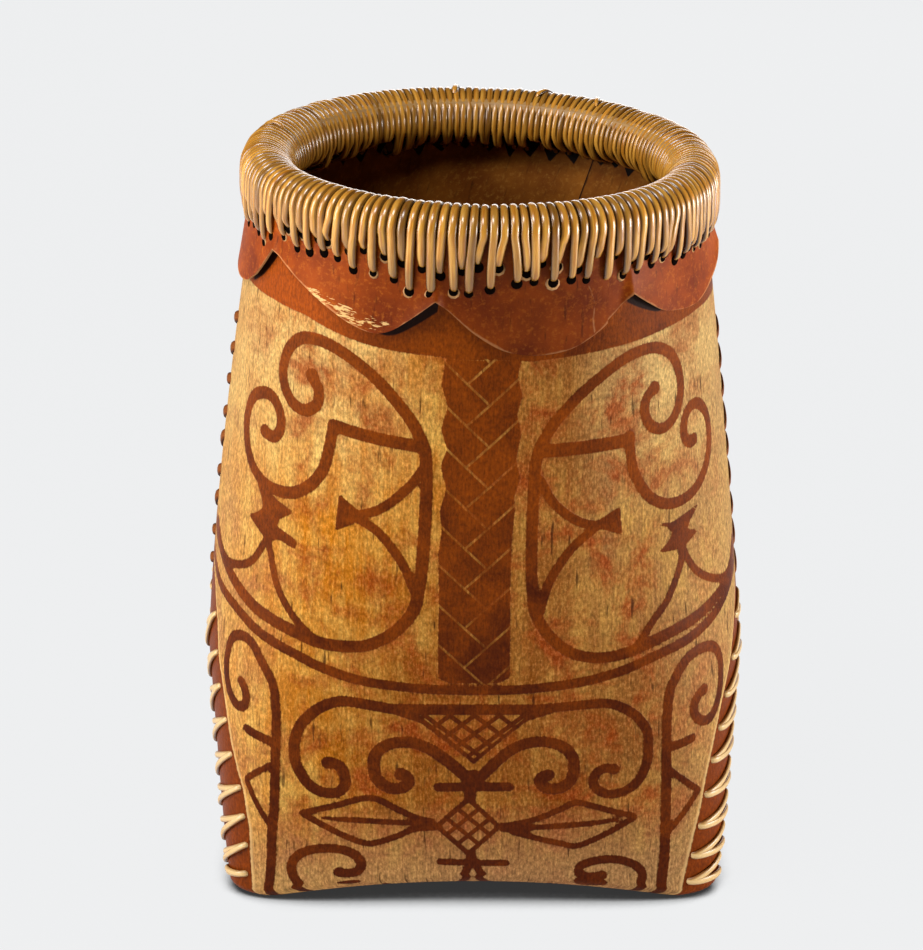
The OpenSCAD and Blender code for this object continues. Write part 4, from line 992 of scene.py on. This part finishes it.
def makeLacing(k=lacing):
    strands, total = len(k["turns"]), sum(k["turns"])
    first = np.concatenate([[-k["turns"][-1], 0], np.cumsum(k["turns"]), [total + k["turns"][0]]])
    sector = 360 / strands * np.arange(-1, strands + 2)  # each root takes an equal share of the rim
    count, pairs = total + 1, total // 2 + 1
    index = np.arange(count)
    angle = (np.interp(index, first, sector) + 180) % 360 - 180
    holeZ = np.where(index % 2 == 0, k["high"], k["low"]) + rng.normal(0, k["jitterZ"], count)
    left, right, raised = k["short"]
    holeZ = holeZ + raised * ((angle > left) & (angle < right))
    left, right, run = k["level"]
    flat = np.clip((angle - left) / run, 0, 1) * (angle < right)
    holeZ = holeZ + flat * (k["levelZ"] + rng.normal(0, k["levelJitter"], count) - holeZ)
    holeZ = np.minimum(holeZ - k["dip"] * np.exp(-((angle - k["dipAt"]) / k["dipWide"]) ** 2), k["highest"])
    splay = rng.normal(0, k["splay"], count)
    inner = k["inner"][0] + np.repeat(rng.normal(0, k["inner"][1], pairs), 2)[:count]
    near, stray = k["meet"]
    meet = np.where(index % 2 == 0, near, -near) + np.repeat(rng.normal(0, stray, pairs), 2)[:count]
    lift = rng.normal(0, k["lift"], count)
    girth, shade = rng.uniform(*k["girth"], count), rng.uniform(*k["shade"], count)
    rollOut, rollUp = k["rollLift"]
    for strand in range(strands):
        stations = []
        for i in range(first[strand + 1], first[strand + 2]):
            h, s, l, n, m = holeZ[i], splay[i], lift[i], inner[i], meet[i]
            lacingHoles.append((float(np.interp(i + s, first, sector)), h))
            tall = k["roll"][0][1] - h
            stations += [(r + off * l, h + rise + up * tall, i + part * s + lead)
                         for r, off, rise, up, part, lead in k["leg"]]
            stations += [(r + rollOut * l, z + rollUp * l, i + lead) for r, z, lead in k["roll"]]
            stations += [(r, z + counts * n, i + lead + part * m) for r, z, counts, lead, part in k["under"]]
        path = smoothLine(stations, 3)
        r, z, turnOf = path[:, 0], path[:, 1], np.clip(path[:, 2].astype(int), 0, total)
        phi = np.radians(np.interp(path[:, 2], first, sector))
        narrow = np.where(z > k["rimZ"], np.interp(r, *k["narrowOver"]), np.interp(r, *k["narrow"]))
        end = np.minimum(np.arange(len(path)), np.arange(len(path))[::-1]) / k["ends"]
        crowded = (k["turns"][0] / k["turns"][strand]) ** k["crowdPower"]
        swell = girth[turnOf] * narrow * np.clip(end, k["thinnest"], 1) * crowded
        # painted shade towards the holes, on top and under the rim inside, and painted light on the turns at
        # the sides, with each turn's own tone
        tone = np.where(r > k["outsideR"], np.interp(z, *k["shadeOut"]), np.interp(r, *k["shadeIn"]))
        worn = tone * shade[turnOf] * (1 + k["paintedSideLight"] * np.abs(np.sin(phi)) ** k["sidePower"])
        paths = [(*roundMouth(path, phi), swell, worn)]
        for start, way in k["tails"]:
            if start // sector[2] == strand:
                tail = smoothLine([(r, z, start + way * t) for r, z, t in k["tail"]], 4)
                phi, last = np.radians(tail[:, 2]), len(tail) - 1
                swell = np.interp(np.arange(last + 1), [0, k["tailEnds"], last - k["tailEnds"], last],
                                  k["tailSwell"])
                paths.append((*roundMouth(tail, phi), swell, k["tailTone"] + 0 * phi))
        made = makeRoots("rimLacing%d" % (strand + 1), paths, k["width"], k["thick"], k["sides"], rimRoot)
        finish(made, "split_root_light", "rim_lacing_%d" % (strand + 1))


makeLacing()
print("stage: rim lacing")

# seam stitches: pale roots whip the panels' edges to the gussets, two strands to a hole, one straight over
# the edge and one slanting to the next; dark ones close the upper seams
stitches = dict(
    first=11.1, pitch=12.2, jitter=0.4, sides=10, lowerCount=9, outside=2.4, crease=1.6, creaseJitter=0.6,
    lowest=5.5, stagger=1.5, rises=dict(left=(-11.5, -20.0), right=(6.5, -1.0)),
    lower=dict(left=1.0, right=3.5), width=dict(left=2.6, right=3.1), thick=1.7, stacked=0.3,
    riseSpan=(0.9, 1.1), ends=4, thinnest=0.5, endTone=0.5,
    # a lower strand, from its hole in the panel: off the bark, shares of the way to the edge and beyond it,
    # and some mm more
    off=[-1.4, -0.1, 0.5, 0.6, 0.6, 0.6, 0.5, -0.2, -1.5, -2.8, -4.0],
    toEdge=[1, 1, 1, 0.72, 0.46, 0.2, 0, 0, 0, 0, 0], beyond=[0, 0, 0, 0, 0, 0, 0, 0.4, 0.75, 1, 1],
    more=[0.5, 0, -1.6, 0, 0, 0, 0, 0, 0, 0, -0.5],
    # an upper stitch: along the bark from the seam, and off the bark
    upperCount=9, upperReach=[6.6, 6.3, 5.2, 3.0, 0.0, -3.0, -5.2, -6.3, -6.6],
    upperOff=[-3.6, -1.8, -0.5, -0.1, 0.0, -0.1, -0.5, -1.8, -3.6], upperSlant=(24.0, 4.0),
    upperOut=dict(left=0.6, right=0.3), upperThick=dict(left=1.6, right=1.2), upperWidth=4.4)


# one strand: distances along the bark from a panel's edge, distances off the bark, and the rise at each
def strandPath(phi0, z0, towards, ends, outs, rises, k=stitches):
    s0 = float(arcLength(np.array(phi0), np.array(z0)))
    line = smoothLine(np.stack([ends, outs, rises], -1), 5)
    z = z0 + line[:, 2]
    phi = np.array([phiAtArc(s0 + towards * t, h) for t, h in zip(line[:, 0], z)])
    points = wall(phi, z, line[:, 1])
    across = np.cross(np.gradient(points, axis=0), wall(phi, z, line[:, 1] + 1) - points)
    across /= np.linalg.norm(across, axis=1)[:, None]
    end = np.minimum(np.arange(len(line)), np.arange(len(line))[::-1]) / k["ends"]
    swell = np.clip(end, k["thinnest"], 1)
    return points, across, swell, k["endTone"] + (1 - k["endTone"]) * swell


def makeLowerStitches(name, side, back, node, k=stitches):
    paths = []
    hand = "left" if (side < 0) != back else "right"  # as seen from in front of this panel
    margin = np.array(ornament["marginLeft" if hand == "left" else "marginRight"])
    off, toEdge, beyond, more = (np.array(k[key]) for key in ("off", "toEdge", "beyond", "more"))
    for n in range(k["lowerCount"]):
        z = k["first"] + k["pitch"] * n + rng.normal(0, k["jitter"]) - k["lower"][hand]
        phi = float(edgePhi(z))
        edge = float(arcLength(np.array(phi), np.array(z)))
        crease = k["crease"] + abs(rng.normal(0, k["creaseJitter"]))
        inside = edge - np.interp(z, margin[:, 0], margin[:, 1]) - crease
        reach = inside * toEdge - k["outside"] * beyond + more
        share = np.clip((inside - reach) / (inside + k["outside"]), 0, 1)
        phi = side * (math.pi - phi if back else phi)
        towards = side if back else -side  # along the bark, from the gusset to the panel
        for order, rise in enumerate(k["rises"][hand]):
            rise = max(rise * rng.uniform(*k["riseSpan"]), k["lowest"] + k["stagger"] * order - z)
            paths.append(strandPath(phi, z, towards, reach, off + k["stacked"] * (order - 0.5),
                                    rise * share))
    made = makeRoots(name, paths, k["width"][hand], k["thick"], k["sides"], paleRoot)
    finish(made, "split_root_light", node)


def makeUpperStitches(name, side, hand, node, k=stitches):
    paths = []
    reach, off = np.array(k["upperReach"]), np.array(k["upperOff"]) + k["upperOut"][hand]
    for n in range(k["upperCount"]):
        z = k["first"] + k["pitch"] * (k["lowerCount"] + n) + rng.normal(0, k["jitter"])
        slant = k["upperSlant"][0] + rng.normal(0, k["upperSlant"][1])
        paths.append(strandPath(side * math.pi / 2, z, 1, reach, off, reach * math.tan(math.radians(slant))))
    made = makeRoots(name, paths, k["upperWidth"], k["upperThick"][hand], k["sides"], darkRoot)
    finish(made, "split_root_dark", node)


makeLowerStitches("leftFrontStitches", -1, False, "left_front_stitches")
makeLowerStitches("leftBackStitches", -1, True, "left_back_stitches")
makeLowerStitches("rightFrontStitches", 1, False, "right_front_stitches")
makeLowerStitches("rightBackStitches", 1, True, "right_back_stitches")
makeUpperStitches("leftUpperStitches", -1, "left", "left_upper_stitches")
makeUpperStitches("rightUpperStitches", 1, "right", "right_upper_stitches")
print("stage: stitches")

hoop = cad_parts["inner_hoop"]
hoop.data.materials.clear()
hoop.data.materials.append(hoopWood)

awlHoles = dict(radius=1.9, depth=0.5, below=1.5, seed=3, grow=(0.8, 1.2), cup=(12, 6), tornShare=0.45,
                torn=(9, 4), tornWide=(1.24, 1.24, 0.62), tornDown=0.3)


# awl holes: one tree sets a shallow cup of painted shade at each hole, and a torn lip round some
def makeHoleTree(k=awlHoles):
    sockets = (("Radius", "Float", k["radius"] * mm), ("Depth", "Float", k["depth"] * mm),
               ("Seed", "Int", k["seed"]), ("Material", "Material", None), ("Torn", "Material", None))
    tree, inputs = startTree("awlHoles", sockets)
    size = add(tree, "CombineXYZ", {"X": inputs["Radius"], "Y": inputs["Radius"], "Z": inputs["Depth"]})
    cup, lip = (add(tree, "GeometryNodeMeshUVSphere", {"Segments": segments, "Rings": rings, "Radius": 1.0})
                for segments, rings in (k["cup"], k["torn"]))
    cup = add(tree, "GeometryNodeTransform", {"Geometry": cup, "Scale": size})
    cup = add(tree, "GeometryNodeStoreNamedAttribute", {
        "data_type": "BOOLEAN", "domain": "FACE", "Geometry": cup, "Name": "dark", "Value": True})
    wide = add(tree, "VectorMath", {"operation": "MULTIPLY", 0: size, 1: k["tornWide"]})
    lip = add(tree, "GeometryNodeTransform", {"Geometry": lip,
                                              "Translation": (0.0, -k["tornDown"] * mm, 0.0), "Scale": wide})
    facing = add(tree, "GeometryNodeInputNamedAttribute", {"data_type": "FLOAT_VECTOR", "Name": "facing"})
    turn = add(tree, "FunctionNodeAlignRotationToVector", {"axis": "Z", "Vector": facing})
    least, most = k["grow"]
    grow = add(tree, "FunctionNodeRandomValue", {"data_type": "FLOAT", "Min": least, "Max": most,
                                                 "Seed": inputs["Seed"]})
    some = add(tree, "FunctionNodeRandomValue", {"data_type": "BOOLEAN", "Probability": k["tornShare"],
                                                 "Seed": inputs["Seed"]})
    spots = {"Points": inputs["Geometry"], "Rotation": turn, "Scale": grow}
    holes = add(tree, "GeometryNodeInstanceOnPoints", {**spots, "Instance": cup})
    lips = add(tree, "GeometryNodeInstanceOnPoints", {**spots, "Selection": some, "Instance": lip})
    made = add(tree, "GeometryNodeJoinGeometry", {"Geometry": [holes, lips]})
    made = add(tree, "GeometryNodeSetShadeSmooth", {"Geometry": made})
    made = add(tree, "GeometryNodeRealizeInstances", {"Geometry": made})
    dark = add(tree, "GeometryNodeInputNamedAttribute", {"data_type": "BOOLEAN", "Name": "dark"})
    made = add(tree, "GeometryNodeSetMaterial", {"Geometry": made, "Material": inputs["Torn"]})
    made = add(tree, "GeometryNodeSetMaterial", {"Geometry": made, "Selection": dark,
                                                 "Material": inputs["Material"]})
    add(tree, "NodeGroupOutput", {"Geometry": made})
    return tree


def makeAwlHoles(k=awlHoles):
    angle, z = np.array(lacingHoles).T
    share = ((angle - collar["start"]) % 360) / (360 + collar["lap"])
    down = (form["barkTop"] - z) / (form["barkTop"] - scallopEdge(angle))
    out = collarOut(share, down, angle) + collar["thick"]
    points, beyond = (wall(np.radians(angle), z - k["below"], out + more) for more in (0, 1))
    facing = (beyond - points) / np.linalg.norm(beyond - points, axis=1)[:, None]
    guide = bpy.data.meshes.new("awlHolePoints")
    guide.from_pydata((points * mm).tolist(), [], [])
    store(guide, "facing", facing)
    made = bakeTree("awlHoles", guide, makeHoleTree(), dict(Material=holeShade, Torn=cutEdge))
    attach(made, "root")


makeAwlHoles()
print("stage: awl holes")

# a pale floor that glows by itself for the camera, but keeps the shadow close to the foot
stage = dict(floorHalf=6.0, floorColour="#EEEFF0", shadowReach=0.026, shadow=(0.34, 0.6, 0.04),
             glossShare=0.3, glow=0.98, worldLight=0.03, worldColour=(1.0, 0.985, 0.96, 1.0))


def makeFloor(k=stage):
    mesh = bpy.data.meshes.new("floor")
    f = k["floorHalf"]
    mesh.from_pydata([(-f, -f, 0), (f, -f, 0), (f, f, 0), (-f, f, 0)], [], [(0, 1, 2, 3)])
    paper = bpy.data.materials.new("paleFloor")
    paper.use_nodes = True
    tree = paper.node_tree
    tree.nodes.clear()
    seen = add(tree, "LightPath").node.outputs
    near = add(tree, "AmbientOcclusion", {"Distance": k["shadowReach"]}, "AO")
    start, end, darkest = k["shadow"]
    dim = add(tree, "MapRange", {"Value": near, "From Min": start, "From Max": end, "To Min": darkest})
    glow = add(tree, "Emission", {"Color": linear(k["floorColour"]), "Strength": dim})
    matt = add(tree, "BsdfDiffuse", {"Color": linear(k["floorColour"])})
    looked = add(tree, "Math", {"operation": "MULTIPLY_ADD", 0: seen["Is Glossy Ray"], 1: k["glossShare"],
                                2: seen["Is Camera Ray"]})
    share = add(tree, "Math", {"operation": "MULTIPLY", 0: looked, 1: k["glow"]})
    both = add(tree, "MixShader", {0: share, 1: matt, 2: glow})
    add(tree, "OutputMaterial", {"Surface": both})
    mesh.materials.append(paper)
    place("floor", mesh)


def makeWorld(k=stage):
    world = bpy.data.worlds.new("studio")
    bpy.context.scene.world = world
    world.use_nodes = True
    tree = world.node_tree
    tree.nodes.clear()
    seen = add(tree, "LightPath").node.outputs
    dim = add(tree, "Background", {"Color": k["worldColour"], "Strength": k["worldLight"]})
    pale = add(tree, "Background", {"Color": linear(k["floorColour"])})
    both = add(tree, "MixShader", {0: seen["Is Camera Ray"], 1: dim, 2: pale})
    add(tree, "OutputWorld", {"Surface": both})


lamps = [  # name, place, aim, width, height, watts
    ("leftBox", (-1.34, -0.4, 0.6), (0, 0, 0.15), 0.7, 1.0, 21.0),
    ("rightBox", (1.37, -0.26, 0.27), (0, 0, 0.15), 0.7, 0.46, 20.0),
    ("topBox", (-0.45, -0.65, 1.4), (0, 0, 0.2), 0.5, 0.36, 12.0),
    ("backBox", (0.25, 1.4, 0.5), (0, 0, 0.15), 1.1, 0.6, 6.5)]
view = dict(lens=151.09, sensor=36.0, far=50.0, place=(-0.00465, -1.45, 0.698), down=20.5)


def makeLamps():
    for name, spot, aim, wide, tall, watts in lamps:
        data = bpy.data.lights.new(name, "AREA")
        data.shape, data.size, data.size_y, data.energy = "RECTANGLE", wide, tall, watts
        lamp = place(name, data)
        lamp.location = spot
        x, y, z = np.array(aim) - np.array(spot)
        lamp.rotation_euler = (math.atan2(math.hypot(x, y), -z), 0, math.atan2(y, x) - math.pi / 2)


def makeCamera(k=view):
    data = bpy.data.cameras.new("camera")
    data.lens, data.sensor_width, data.clip_end = k["lens"], k["sensor"], k["far"]
    camera = place("camera", data)
    camera.location = k["place"]
    camera.rotation_euler = (math.radians(90 - k["down"]), 0, 0)
    bpy.context.scene.camera = camera


makeFloor()
makeWorld()
makeLamps()
makeCamera()
bpy.context.scene.view_settings.view_transform = "Standard"
print("stage: floor, light and camera")
